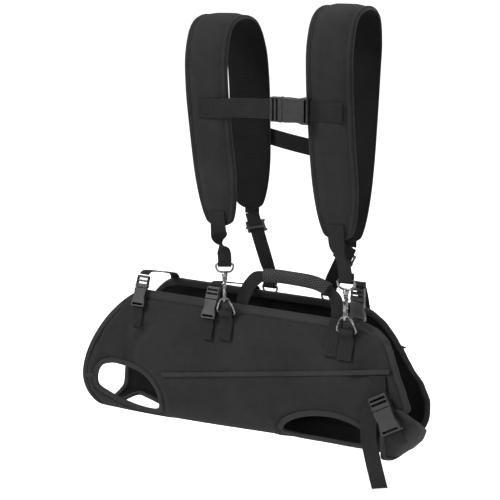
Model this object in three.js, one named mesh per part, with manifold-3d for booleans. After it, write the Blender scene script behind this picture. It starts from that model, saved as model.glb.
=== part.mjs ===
// Dog lift-and-carry sling on a pair of padded shoulder straps.
// Millimetres, +Z up, +X towards the chest end of the sling, +Y towards its far side.
// The origin lies midway between the two shoulder pads' arches.
import * as THREE from 'three';
import { mergeVertices } from 'three/addons/utils/BufferGeometryUtils.js';
import Module from 'manifold-3d';

const wasm = await Module();
wasm.setup();

// ---------- driving dimensions ----------
const GAP = 0.35;                 // air between any two neighbouring pieces

// sling body
const RIM_Z = -422;               // upper rim of both side panels
const FLOOR_Z_REAR = -626;        // outer face of the floor at the rear end
const FLOOR_Z_FRONT = -610;       // and at the chest end
const HALF_WIDTH = 72;            // half the widest outside width
const SHELL = 4;                  // padded cloth, both faces together
const REAR_X = -320;              // rearmost point of the near panel
const REAR_X_FAR = -333;          // the far panel hangs a little further back
const RIM_REAR_X = -216;          // where the rim turns down at the rear
const REAR_FULL_Z = -568;         // height of the near panel's rearmost point
const REAR_FULL_Z_FAR = -590;
const REAR_HEM_X = -300;          // rear hem of the floor under the near panel
const REAR_HEM_X_FAR = -322;      // and under the far panel
const REAR_ROUND = 1.5;           // exponent of the rear edge's superellipse
const SEAM_Z_MID = -517;          // side seam at x = 0
const SEAM_SLOPE = 0.172;         // rise of the side seam towards the chest

// shoulder pads
const PAD_SPACING = 196;          // between the two pads' middles at the arch
const PAD_WIDTH = 68;
const PAD_COVER = 5.5;            // outer face with its foam
const PAD_LINING = 2.5;           // mesh lining against the shoulder
const PAD_HALF_SPAN = 62;         // half the distance between a pad's two legs
const PAD_REAR_Z = -12;           // underside of the rear pad's arch
const PAD_FRONT_Z = 5;            // and of the front pad's
const PAD_FACE = PAD_LINING + PAD_COVER + 3 * GAP;   // just off a pad's outer face
const PAD_TIP_ROUND = 95;         // length over which a pad narrows to its tip
const PAD_TIP_WIDTH = 27;
const PAD_TIP_LEAN = 2;           // how far a pad's tip curls in from its leg

// webbing
const WEB = 25;                   // strap, tab and tail webbing
const WEB_T = 1.6;
const HOOK_WEB = 20;              // webbing gathered where it turns through a hook's eye
const CLOSURE_WEB = 17;           // closures over the open top
const STERNUM_WEB = 27;
const STERNUM_BUCKLE = 30;        // webbing size that the sternum buckle is made for
const HANDLE_WEB = 20;

// hooks and rings
const WIRE = 3.4;                 // wire of the hook's eye
const EYE_INNER_W = HOOK_WEB + 2; // clear width between the eye's sides
const EYE_H = 12;                 // between the wire centres of the eye
const BOSS_D = 9;
const BOSS_H = 6;
const HOOK_T = 4.6;               // hook plate
const HOOK_DROP = 32;             // from the swivel face down to the ring's wire
const RING_WIRE = 3.2;
const RING_W = 29.5;              // between wire centres, along the tab
const RING_H = 23;
const NEAR_EYE_Z = -359;          // bar of the near hooks' eyes
const FAR_EYE_Z = -424;           // bar of the far hooks' eyes
const NEAR_HOOK_OFF = 7;          // near hooks' middle plane off the panel beside their rings
const FAR_HOOK_OFF = 12.4;
const RING_LEAN = 4;              // how far a ring's base lies nearer the cloth than its top
const TAB_DROP = 40;              // ring's bar to the lower end of its tab
const TAB_WEB = 23;               // tab webbing, narrower than the ring's bar

// grab handle
const HANDLE_REAR_X = -40;
const HANDLE_FRONT_X = 112;
const HANDLE_TOP_Z = -374;
const GRIP_D = 20;
const GRIP_REAR_X = -6;
const GRIP_FRONT_X = 98;

const STRAPS = [
  { name: 'rear', x: -PAD_SPACING / 2, dz: PAD_REAR_Z, nearTip: [-68, -302], farTip: [-92, -300],
    nearHookX: -62.5, farHookX: -67, eyeTurn: 30, twist: 180, hookTurn: 118 },
  { name: 'front', x: PAD_SPACING / 2, dz: PAD_FRONT_Z, nearTip: [122, -302], farTip: [74, -334],
    nearHookX: 134, farHookX: 36, eyeTurn: 4, twist: 0, hookTurn: 105 },
];
const CLOSURES = [
  { name: 'rear', x: -219, farX: -222, topZ: -399, inside: false },
  { name: 'middle', x: -92, farX: -74, topZ: -400, inside: false },
  { name: 'front', x: 141, farX: 112, topZ: -374, inside: true },
];

// ---------- materials ----------
const cloth = (c) => new THREE.MeshStandardMaterial({ color: c, roughness: 0.9, metalness: 0 });
const FABRIC = cloth(0x2f2f30);
const LINING = cloth(0x1d1d1e);
const WEBBING = cloth(0x232324);
const PLASTIC = new THREE.MeshStandardMaterial({ color: 0x1a1a1b, roughness: 0.45, metalness: 0 });
const STEEL = new THREE.MeshStandardMaterial({ color: 0x8f9094, roughness: 0.28, metalness: 1 });

const model = new THREE.Group();
const V = (x, y, z) => new THREE.Vector3(x, y, z);
const lerp = THREE.MathUtils.lerp;
const rad = THREE.MathUtils.degToRad;

function addNode(name, geometry, material, parent = model) {
  const mesh = new THREE.Mesh(geometry, material);
  mesh.name = name;
  parent.add(mesh);
  return mesh;
}

// ---------- solids ----------
function toManifold(geometry) {
  const bare = geometry.clone();
  bare.deleteAttribute('normal');
  bare.deleteAttribute('uv');
  const merged = mergeVertices(bare, 1e-4);
  return new wasm.Manifold(new wasm.Mesh({
    numProp: 3,
    vertProperties: new Float32Array(merged.attributes.position.array),
    triVerts: new Uint32Array(merged.index.array),
  }));
}

function fromManifold(solid) {
  const mesh = solid.getMesh();
  const geometry = new THREE.BufferGeometry();
  geometry.setAttribute('position', new THREE.BufferAttribute(mesh.vertProperties, 3));
  geometry.setIndex(new THREE.BufferAttribute(mesh.triVerts, 1));
  return geometry;
}

function moved(geometry, x = 0, y = 0, z = 0) {
  return geometry.clone().translate(x, y, z);
}

// Closed body through a list of equal rings of points; closed = true joins last ring to first.
function loft(rings, closed = false) {
  const n = rings[0].length;
  const position = rings.flat().flatMap((p) => [p.x, p.y, p.z]);
  const index = [];
  const spans = closed ? rings.length : rings.length - 1;
  for (let i = 0; i < spans; i++) {
    const a = i * n;
    const b = ((i + 1) % rings.length) * n;
    for (let j = 0; j < n; j++) {
      const k = (j + 1) % n;
      index.push(a + j, a + k, b + k, a + j, b + k, b + j);
    }
  }
  if (!closed) {
    const last = (rings.length - 1) * n;
    for (let j = 1; j < n - 1; j++) {
      index.push(0, j + 1, j);
      index.push(last, last + j, last + j + 1);
    }
  }
  const geometry = new THREE.BufferGeometry();
  geometry.setAttribute('position', new THREE.Float32BufferAttribute(position, 3));
  geometry.setIndex(index);
  return outward(geometry);
}

// Turns a closed body's faces outwards when its signed volume is negative.
function outward(geometry) {
  const p = geometry.attributes.position;
  const ix = geometry.index.array;
  const [a, b, c] = [V(), V(), V()];
  let volume = 0;
  for (let i = 0; i < ix.length; i += 3) {
    a.fromBufferAttribute(p, ix[i]);
    b.fromBufferAttribute(p, ix[i + 1]);
    c.fromBufferAttribute(p, ix[i + 2]);
    volume += a.dot(b.cross(c));
  }
  if (volume < 0) {
    for (let i = 0; i < ix.length; i += 3) [ix[i + 1], ix[i + 2]] = [ix[i + 2], ix[i + 1]];
  }
  return geometry;
}

// Flat strap along points; across(t) gives its width direction, width(t) its width.
function ribbon(points, across, width, thickness, steps = points.length * 2) {
  const curve = new THREE.CatmullRomCurve3(points, false, 'centripetal');
  const rings = [];
  for (let i = 0; i <= steps; i++) {
    const t = i / steps;
    const p = curve.getPointAt(t);
    const along = curve.getTangentAt(t);
    const w = across(t).clone();
    w.addScaledVector(along, -w.dot(along)).normalize();
    const n = V().crossVectors(along, w).normalize();
    w.multiplyScalar(width(t) / 2);
    n.multiplyScalar(thickness / 2);
    rings.push([
      p.clone().add(w).add(n), p.clone().sub(w).add(n),
      p.clone().sub(w).sub(n), p.clone().add(w).sub(n),
    ]);
  }
  return loft(rings);
}

// Round wire along points; closed = true makes an endless ring.
function wire(points, diameter, closed, steps, sides = 8) {
  const curve = new THREE.CatmullRomCurve3(points, closed, 'centripetal');
  const frames = curve.computeFrenetFrames(steps, closed);
  const rings = [];
  const count = closed ? steps : steps + 1;
  for (let i = 0; i < count; i++) {
    const p = curve.getPointAt(i / steps);
    rings.push(Array.from({ length: sides }, (_, j) => {
      const a = (j / sides) * 2 * Math.PI;
      return p.clone()
        .addScaledVector(frames.normals[i], (Math.cos(a) * diameter) / 2)
        .addScaledVector(frames.binormals[i], (Math.sin(a) * diameter) / 2);
    }));
  }
  return loft(rings, closed);
}

// Plate from an outline in XZ, centred on y = 0.
function plate(outline, thickness, bevel = 0) {
  const shape = new THREE.Shape(outline.map(([x, z]) => new THREE.Vector2(x, z)));
  const geometry = new THREE.ExtrudeGeometry(shape, {
    depth: thickness - 2 * bevel, bevelEnabled: bevel > 0, bevelThickness: bevel,
    bevelSize: bevel, bevelOffset: -bevel, bevelSegments: 1, steps: 1,
  });
  geometry.translate(0, 0, -(thickness - 2 * bevel) / 2);
  return geometry.rotateX(Math.PI / 2);
}

function box(w, d, h, x = 0, y = 0, z = 0) {
  return moved(new THREE.BoxGeometry(w, d, h), x, y, z);
}

// ---------- sling body ----------
// Half profile of the girth: share of the half width, share of the height above the floor.
const HALF_PROFILE = [[0.62, 1], [0.84, 0.8], [0.97, 0.58], [1, 0.38], [0.93, 0.16], [0.7, 0.03], [0.35, 0]];
const GIRTH = new THREE.CatmullRomCurve3([
  ...HALF_PROFILE.map(([y, h]) => V(-y * HALF_WIDTH, 0, h * (RIM_Z - FLOOR_Z_REAR))),
  V(0, 0, 0),
  ...HALF_PROFILE.toReversed().map(([y, h]) => V(y * HALF_WIDTH, 0, h * (RIM_Z - FLOOR_Z_REAR))),
], false, 'centripetal');

function floorZ(x) {
  return lerp(FLOOR_Z_REAR, FLOOR_Z_FRONT, THREE.MathUtils.smoothstep(x, -260, 210));
}

// Smooth curve through [height share, x] points, read by height share.
function readCurve(points, h) {
  for (let i = 0; i < points.length - 1; i++) {
    const [h0, x0] = points[i];
    const [h1, x1] = points[i + 1];
    if (h >= h1) return lerp(x1, x0, THREE.MathUtils.smoothstep(h, h1, h0) * 0.35 + ((h - h1) / (h0 - h1)) * 0.65);
  }
  return points[points.length - 1][1];
}

// Chest-end edge of each side panel: share of the height, x.
const FRONT_NEAR = [[1, 160], [0.965, 180], [0.9, 196], [0.8, 207], [0.7, 216], [0.56, 229], [0.44, 238],
  [0.34, 222], [0.22, 203], [0.1, 191], [0, 188]];
const FRONT_FAR = [[1, 112], [0.94, 130], [0.85, 146], [0.72, 160], [0.6, 172], [0.5, 182], [0.38, 200],
  [0.25, 211], [0.12, 213], [0, 208]];

// Rear edge: a superellipse from the rim to the rearmost point, then a curve in to the floor's hem.
function rearEdge(h, side) {
  const rearmost = lerp(REAR_X, REAR_X_FAR, side);
  const hem = lerp(REAR_HEM_X, REAR_HEM_X_FAR, side);
  const full = (lerp(REAR_FULL_Z, REAR_FULL_Z_FAR, side) - FLOOR_Z_REAR) / (RIM_Z - FLOOR_Z_REAR);
  if (h >= full) {
    const rise = Math.min((h - full) / (1 - full), 1);
    return RIM_REAR_X + (rearmost - RIM_REAR_X) * (1 - rise ** REAR_ROUND) ** (1 / REAR_ROUND);
  }
  return lerp(rearmost, hem, (1 - h / full) ** 2);
}

// Outer face of the body: u from rear to chest end, s from near rim (0) round to far rim (1).
function bodyPoint(u, s) {
  const g = GIRTH.getPointAt(s);
  const h = THREE.MathUtils.clamp(g.z / (RIM_Z - FLOOR_Z_REAR), 0, 1);
  const side = THREE.MathUtils.smoothstep(g.x, -HALF_WIDTH * 0.7, HALF_WIDTH * 0.7);
  const front = lerp(readCurve(FRONT_NEAR, h), readCurve(FRONT_FAR, h), side);
  const x = lerp(rearEdge(h, side), front, u);
  return V(x, g.x, floorZ(x) + h * (RIM_Z - floorZ(x)));
}

function bodyNormal(u, s) {
  const e = 0.002;
  const du = bodyPoint(Math.min(u + e, 1), s).sub(bodyPoint(Math.max(u - e, 0), s));
  const ds = bodyPoint(u, Math.min(s + e, 1)).sub(bodyPoint(u, Math.max(s - e, 0)));
  return V().crossVectors(du, ds).normalize().negate();
}

// Place on the outer face at length x and girth share s.
function onBody(x, s, out = 0) {
  let lo = 0;
  let hi = 1;
  for (let i = 0; i < 30; i++) {
    const mid = (lo + hi) / 2;
    if (bodyPoint(mid, s).x < x) lo = mid;
    else hi = mid;
  }
  return bodyPoint(lo, s).addScaledVector(bodyNormal(lo, s), out);
}

// Girth share on the near (0) or far (1) side where the outer face reaches height z.
function girthAt(x, z, far) {
  let lo = far ? 0.5 : 0;
  let hi = far ? 1 : 0.5;
  for (let i = 0; i < 30; i++) {
    const mid = (lo + hi) / 2;
    const high = onBody(x, mid).z > z;
    if (high === Boolean(far)) hi = mid;
    else lo = mid;
  }
  return (lo + hi) / 2;
}

function bodyShell(nu, ns) {
  const outer = [];
  const inner = [];
  for (let i = 0; i <= nu; i++) {
    for (let j = 0; j <= ns; j++) {
      const p = bodyPoint(i / nu, j / ns);
      outer.push(p);
      inner.push(p.clone().addScaledVector(bodyNormal(i / nu, j / ns), -SHELL));
    }
  }
  const m = outer.length;
  const at = (i, j) => i * (ns + 1) + j;
  const index = [];
  const quad = (a, b, c, d) => index.push(a, b, c, a, c, d);
  for (let i = 0; i < nu; i++) {
    for (let j = 0; j < ns; j++) {
      quad(at(i, j), at(i + 1, j), at(i + 1, j + 1), at(i, j + 1));
      quad(m + at(i, j), m + at(i, j + 1), m + at(i + 1, j + 1), m + at(i + 1, j));
    }
  }
  for (let i = 0; i < nu; i++) {
    quad(at(i, 0), m + at(i, 0), m + at(i + 1, 0), at(i + 1, 0));
    quad(at(i, ns), at(i + 1, ns), m + at(i + 1, ns), m + at(i, ns));
  }
  for (let j = 0; j < ns; j++) {
    quad(at(0, j), at(0, j + 1), m + at(0, j + 1), m + at(0, j));
    quad(at(nu, j), m + at(nu, j), m + at(nu, j + 1), at(nu, j + 1));
  }
  const geometry = new THREE.BufferGeometry();
  geometry.setAttribute('position', new THREE.Float32BufferAttribute(
    [...outer, ...inner].flatMap((p) => [p.x, p.y, p.z]), 3));
  geometry.setIndex(index);
  return outward(geometry);
}

// Prism over an XZ outline between two depths; smooth rounds the outline through its points.
function prismXZ(outline, y0, y1, smooth) {
  let points = outline.map(([x, z]) => new THREE.Vector2(x, z));
  if (smooth) {
    const curve = new THREE.CatmullRomCurve3(points.map((p) => V(p.x, p.y, 0)), true, 'centripetal');
    points = curve.getPoints(points.length * 2).slice(0, -1).map((p) => new THREE.Vector2(p.x, p.y));
  }
  const geometry = new THREE.ExtrudeGeometry(new THREE.Shape(points), { depth: y1 - y0, bevelEnabled: false });
  return geometry.rotateX(Math.PI / 2).translate(0, y1, 0);
}

const seamZ = (x) => SEAM_Z_MID + SEAM_SLOPE * x;

// Leg openings in the side panels, as seen from the side.
const REAR_LEG = [[-292, -581], [-292, -562], [-283, -547], [-262, -539], [-236, -540], [-211, -545],
  [-191, -558], [-179, -578], [-180, -599], [-190, -609], [-222, -609], [-252, -601], [-276, -591]];
const FRONT_LEG = [[34, -598], [42, -584], [62, -571], [90, -562], [124, -559], [152, -564], [170, -573],
  [177, -590], [160, -601], [100, -603], [52, -603]];
const FAR_REAR_SHIFT = 36;        // the far leg opening hangs this much further forward
// Opening in the floor between the hind legs, seen from above.
const FLOOR_GAP = [[-284, -30], [-286, 0], [-282, 27], [-262, 22], [-226, 6], [-194, -12], [-190, -20],
  [-206, -30], [-246, -34]];

function buildBody() {
  let shell = toManifold(bodyShell(26, 18));
  const cut = (geometry) => { shell = shell.subtract(toManifold(geometry)); };
  cut(prismXZ(REAR_LEG, -120, -28, true));
  cut(prismXZ(FRONT_LEG, -120, -30, true));
  cut(prismXZ(REAR_LEG.map(([x, z]) => [x + FAR_REAR_SHIFT, z]), 28, 120, true));
  cut(prismXZ(FRONT_LEG, 30, 120, true));
  const gap = prismXZ(FLOOR_GAP, -20, 20, true).rotateX(-Math.PI / 2);
  cut(gap.translate(0, 0, FLOOR_Z_REAR));
  const far = 400;
  const above = [[-far, seamZ(-far) + GAP], [far, seamZ(far) + GAP], [far, 0], [-far, 0]];
  const below = [[-far, seamZ(-far)], [far, seamZ(far)], [far, -800], [-far, -800]];
  const piece = (outline, y0, y1) => fromManifold(shell.intersect(toManifold(prismXZ(outline, y0, y1))));
  addNode('side_panel_near', piece(above, -120, -5), FABRIC);
  addNode('side_panel_far', piece(above, 5, 120), FABRIC);
  addNode('belly_panel', piece(below, -120, 120), FABRIC);
}

// Chest flap: rises from the front hem of the floor, round the chest, over the near panel.
const FLAP_T = 3;
const FLAP_BULGE = 6;
// Its lower and upper edges: x, share of the half width, z.
const FLAP_LOWER = [[196, -0.944, -607], [204, -0.639, -614], [207, -0.069, -614], [213, 0.417, -613],
  [217, 0.778, -604]];
const FLAP_UPPER = [[199, -1.019, -533], [222, -1.025, -528], [243, -1.008, -538], [247, -0.694, -554],
  [237, -0.167, -574], [225, 0.417, -590], [218, 0.806, -599]];
function chestFlap() {
  const edge = (points) => new THREE.CatmullRomCurve3(
    points.map(([x, share, z]) => V(x, share * HALF_WIDTH, z)), false, 'centripetal');
  const lower = edge(FLAP_LOWER);
  const upper = edge(FLAP_UPPER);
  const out = (a) => V(lerp(0.1, 1, THREE.MathUtils.smoothstep(a, 0.15, 0.6)),
    lerp(-1, 0, THREE.MathUtils.smoothstep(a, 0.2, 0.7)), -0.25).normalize();
  const rings = [];
  const across = 14;
  const rise = 5;
  for (let i = 0; i <= across; i++) {
    const a = i / across;
    const lo = lower.getPointAt(a);
    const hi = upper.getPointAt(a);
    const front = [];
    const back = [];
    for (let j = 0; j <= rise; j++) {
      const b = j / rise;
      const bulge = FLAP_BULGE * Math.sin(Math.PI * b) ** 1.3 * (1 - a * 0.6);
      const p = lo.clone().lerp(hi, b).addScaledVector(out(a), bulge);
      front.push(p.clone().addScaledVector(out(a), FLAP_T));
      back.push(p);
    }
    rings.push([...front, ...back.reverse()]);
  }
  return loft(rings);
}

// ---------- shoulder pads ----------
// Middle line of a pad on its underside: near tip, up the near leg, over the arch, down the far leg.
function padLine(strap) {
  const [nx, nz] = strap.nearTip;
  const [fx, fz] = strap.farTip;
  const top = strap.dz;
  const s = PAD_HALF_SPAN;
  const nearX = (k) => lerp(strap.x, nx, k);
  const farX = (k) => lerp(strap.x, fx, k);
  return new THREE.CatmullRomCurve3([
    V(nx, -s + PAD_TIP_LEAN, nz), V(nearX(0.82), -s, nz + 60), V(nearX(0.55), -s - 1, nz + 130),
    V(nearX(0.3), -s, top - 90), V(nearX(0.15), -s + 8, top - 42), V(nearX(0.05), -s * 0.55, top - 9),
    V(strap.x, 0, top),
    V(farX(0.1), s * 0.55, top - 9), V(farX(0.3), s - 8, top - 42), V(farX(0.5), s, top - 90),
    V(farX(0.75), s + 1, fz + 130), V(farX(0.95), s, fz + 60), V(fx, s - PAD_TIP_LEAN, fz),
  ], false, 'centripetal');
}

function padLayer(line, from, thickness) {
  const length = line.getLength();
  const steps = 24;
  const rings = [];
  for (let i = 0; i <= steps; i++) {
    const t = i / steps;
    const toTip = Math.min(t, 1 - t) * length;
    const k = Math.min(toTip / PAD_TIP_ROUND, 1);
    const half = lerp(PAD_TIP_WIDTH, PAD_WIDTH, Math.sqrt(1 - (1 - k) ** 2)) / 2;
    const p = line.getPointAt(t);
    const along = line.getTangentAt(t);
    const w = V(1, 0, 0).addScaledVector(along, -along.x).normalize();
    const n = V().crossVectors(w, along).normalize();
    const edge = Math.min(1.2, thickness / 3);
    const at = (a, h) => p.clone().addScaledVector(w, a).addScaledVector(n, h);
    rings.push([
      at(-half + edge, from), at(-half, from + edge), at(-half, from + thickness - edge),
      at(-half + edge, from + thickness), at(half - edge, from + thickness),
      at(half, from + thickness - edge), at(half, from + edge), at(half - edge, from),
    ]);
  }
  return loft(rings);
}

// Point of a pad's middle line where its near or far leg passes height z.
function padAt(line, z, far) {
  let lo = far ? 0.5 : 0;
  let hi = far ? 1 : 0.5;
  for (let i = 0; i < 30; i++) {
    const mid = (lo + hi) / 2;
    if ((line.getPointAt(mid).z > z) === Boolean(far)) lo = mid;
    else hi = mid;
  }
  return line.getPointAt(lo);
}

// Middle of webbing lying on the pad's outer face at height z.
function onPad(line, z, far) {
  return padAt(line, z, far).add(V(0, (far ? 1 : -1) * (PAD_FACE + WEB_T / 2), 0));
}

// ---------- hooks ----------
const EYE_W = EYE_INNER_W + WIRE;
const HOOK_TOP = -(EYE_H + WIRE / 2 + BOSS_H + GAP);   // swivel face below the eye's bar

function hookEye() {
  const w = EYE_W / 2;
  const r = 4;
  const h = -EYE_H;
  const loop = wire([V(-w + r, 0, 0), V(w - r, 0, 0), V(w, 0, -r), V(w - 2, 0, h + 2.5), V(w - 6, 0, h),
    V(-w + 6, 0, h), V(-w + 2, 0, h + 2.5), V(-w, 0, -r)], WIRE, true, 18, 6);
  const boss = new THREE.CylinderGeometry(BOSS_D / 2, BOSS_D / 2, BOSS_H + 1, 12).rotateX(Math.PI / 2);
  return fromManifold(toManifold(loop).add(toManifold(moved(boss, 0, 0, h - BOSS_H / 2 - WIRE / 2 + 0.5))));
}

const HOOK_IN = 6.6;              // half the clear width inside the hook
const HOOK_SLACK = 1.7;           // hook's bowl below the ring's wire
const HOOK_BAR = 4;               // width of the hook's bar
const GATE_TOP = -10;
const GATE_TIP = -24;
function hookBody() {
  const a = HOOK_IN + HOOK_BAR;
  const bowlZ = -HOOK_DROP - RING_WIRE / 2 - HOOK_SLACK + HOOK_IN;
  const outer = (deg, r) => [Math.cos(rad(deg)) * r, bowlZ + Math.sin(rad(deg)) * r];
  const arcOut = [180, 205, 230, 250, 270, 290, 310, 335, 358].map((d) => outer(d, a));
  const arcIn = [358, 335, 310, 290, 270, 250, 230, 205, 180].map((d) => outer(d, HOOK_IN));
  const tip = GATE_TIP - GAP;
  return plate([
    [-3.5, 0], [-a + 2, -3.5], [-a, -8], ...arcOut, [a, tip - 1.5], [a - 1.2, tip], [HOOK_IN + 0.8, tip],
    [HOOK_IN, tip - 1.5], ...arcIn, [-HOOK_IN, -10], [-HOOK_IN + 2, -7.5], [HOOK_IN - 1, -7.5],
    [HOOK_IN - 1, GATE_TOP + GAP + 0.6], [a, GATE_TOP + GAP + 0.6], [a, -6], [3.5, 0],
  ], HOOK_T);
}

function hookGate() {
  const w = HOOK_BAR;
  return plate([[-w / 2, -w / 2], [w / 2, -w / 2], [w / 2, GATE_TIP - GATE_TOP + 1.2],
    [w / 2 - 1.2, GATE_TIP - GATE_TOP], [-w / 2, GATE_TIP - GATE_TOP]], HOOK_T - 1);
}

function addHook(name, at, yaw) {
  const group = new THREE.Group();
  group.position.copy(at);
  group.rotation.z = rad(yaw.eye);
  model.add(group);
  addNode(`hook_eye_${name}`, hookEye(), STEEL, group);
  const swivel = new THREE.Group();
  swivel.position.copy(at).add(V(0, 0, HOOK_TOP));
  swivel.rotation.z = rad(yaw.hook);
  model.add(swivel);
  addNode(`hook_body_${name}`, hookBody(), STEEL, swivel);
  const gate = addNode(`hook_gate_${name}`, hookGate(), STEEL, swivel);
  gate.position.set(HOOK_IN + HOOK_BAR / 2, 0, GATE_TOP);
}

// Middle of the bar of a hook's eye, plumb over its ring, which hangs just off the panel.
function eyePoint(strap, far) {
  const x = far ? strap.farHookX : strap.nearHookX;
  const z = far ? FAR_EYE_Z : NEAR_EYE_Z;
  const panel = onBody(x, girthAt(x, z + HOOK_TOP - HOOK_DROP - RING_H - RING_W * 0.4, far));
  return V(x, panel.y + (far ? FAR_HOOK_OFF : -NEAR_HOOK_OFF), z);
}

// Ring hung in a tab: straight base, rounded triangle above it.
function ring() {
  const w = RING_W / 2;
  return wire([V(-w + 1.4, 0, 0), V(w - 1.4, 0, 0), V(w, 0, 1.6), V(w - 2.6, 0, RING_H * 0.5), V(6.5, 0, RING_H - 2.2),
    V(0, 0, RING_H), V(-6.5, 0, RING_H - 2.2), V(-w + 2.6, 0, RING_H * 0.5), V(-w, 0, 1.6)], RING_WIRE, true, 20, 6);
}

const BEND = RING_WIRE / 2 + GAP + WEB_T / 2 + 0.6;   // centre of webbing turned round a ring

// Ring, its tab and the hook above it; far = 1 on the far side.
function addHangPoint(strap, far) {
  const name = `${far ? 'far' : 'near'}_${strap.name}`;
  const out = far ? 1 : -1;
  const eye = eyePoint(strap, far);
  const x = eye.x;
  addHook(name, eye, { eye: far ? 0 : strap.eyeTurn, hook: strap.hookTurn });
  const apexZ = eye.z + HOOK_TOP - HOOK_DROP;
  const baseZ = apexZ - RING_H;
  const baseY = eye.y - out * RING_LEAN;
  const ringMesh = addNode(`ring_${name}`, ring(), STEEL);
  ringMesh.position.set(x, baseY, baseZ);
  ringMesh.rotation.x = Math.atan2(-out * RING_LEAN, RING_H);
  const s0 = girthAt(x, baseZ - 12, far);
  const s1 = girthAt(x, baseZ - TAB_DROP, far);
  const lift = GAP + WEB_T / 2;
  const down = [0, 0.33, 0.66, 1].map((k) => onBody(x, lerp(s0, s1, k), lift + 0.5));
  const front = V(x, baseY + out * BEND, baseZ);
  const points = [
    V(x, baseY - out * BEND, baseZ - 3), V(x, baseY - out * BEND, baseZ),
    V(x, baseY - out * BEND * 0.7, baseZ + BEND * 0.7), V(x, baseY, baseZ + BEND),
    V(x, baseY + out * BEND * 0.7, baseZ + BEND * 0.7), front, front.clone().add(V(0, 0, -3.5)), ...down,
  ];
  addNode(`ring_tab_${name}`, ribbon(points, () => V(1, 0, 0), () => TAB_WEB, WEB_T, 24), WEBBING);
}

// ---------- side-release buckles ----------
// Local frame: plug above, socket below, parting at z = 0, web across X, thickness along Y.
function socketSolid(web, t) {
  const half = web / 2 + 2.8;
  const inner = half - 1.8;
  const depth = web * 0.75 + 8;
  const body = plate([[-half + 1, 0], [half - 1, 0], [half - 0.6, -4], [half - 1.6, -depth + 8], [half + 0.6, -depth],
    [half + 0.6, -depth - 7], [half - 0.6, -depth - 8.2], [-half + 0.6, -depth - 8.2], [-half - 0.6, -depth - 7],
    [-half - 0.6, -depth], [-half + 1.6, -depth + 8], [-half + 0.6, -4]], t, 0.8);
  let solid = toManifold(body);
  solid = solid.subtract(toManifold(box(2 * inner - 1, t - 3.4, 2 * depth - 8, 0, 0, 0)));
  solid = solid.subtract(toManifold(box(4 * half, t - 4.6, web * 0.34, 0, 0, -depth * 0.5)));
  return fromManifold(solid.subtract(toManifold(box(web + 0.8, t * 2, 3.4, 0, 0, -depth - 4.4))));
}

function plugSolid(web, t) {
  const half = web / 2 + 2.8;
  const reach = web * 0.75 + 2;
  const inner = half - 1.8 - 0.5 - GAP;
  const face = GAP;
  const base = plate([[-half + 1, face], [half - 1, face], [half, face + 3], [half - 0.8, face + 7],
    [half - 0.8, face + 18], [half - 2, face + 19.5], [-half + 2, face + 19.5], [-half + 0.8, face + 18],
    [-half + 0.8, face + 7], [-half, face + 3]], t - 1.5, 0.8);
  const legT = t - 3.4 - 2 * GAP;
  let solid = toManifold(base);
  for (const side of [-1, 1]) {
    const leg = plate([[side * inner, face + 2], [side * inner, -reach + 5], [side * (inner - 1.5), -reach],
      [side * (inner - 3.4), -reach], [side * (inner - 3.2), -reach * 0.4], [side * (inner - 3), face + 2]], legT);
    solid = solid.add(toManifold(leg));
  }
  solid = solid.add(toManifold(box(web * 0.22, legT, reach - 2 + face, 0, 0, (face + 2 - reach + 2) / 2)));
  for (const z of [8.2, 14.2]) solid = solid.subtract(toManifold(box(web + 0.8, t * 2, 3.2, 0, 0, face + z)));
  return fromManifold(solid);
}

const BUCKLE_REACH = (web) => web * 0.75 + 16.2;  // from parting to the socket's end

// Places a buckle: at = parting, down = from plug to socket, face = towards the eye.
function addBuckle(name, web, t, at, down, face) {
  const z = down.clone().normalize().negate();
  const y = face.clone().negate();
  y.addScaledVector(z, -y.dot(z)).normalize();
  const x = V().crossVectors(y, z);
  const basis = new THREE.Matrix4().makeBasis(x, y, z);
  for (const [part, geometry] of [['socket', socketSolid(web, t)], ['plug', plugSolid(web, t)]]) {
    const mesh = addNode(`${name}_${part}`, geometry, PLASTIC);
    mesh.quaternion.setFromRotationMatrix(basis);
    mesh.position.copy(at);
  }
}

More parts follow.
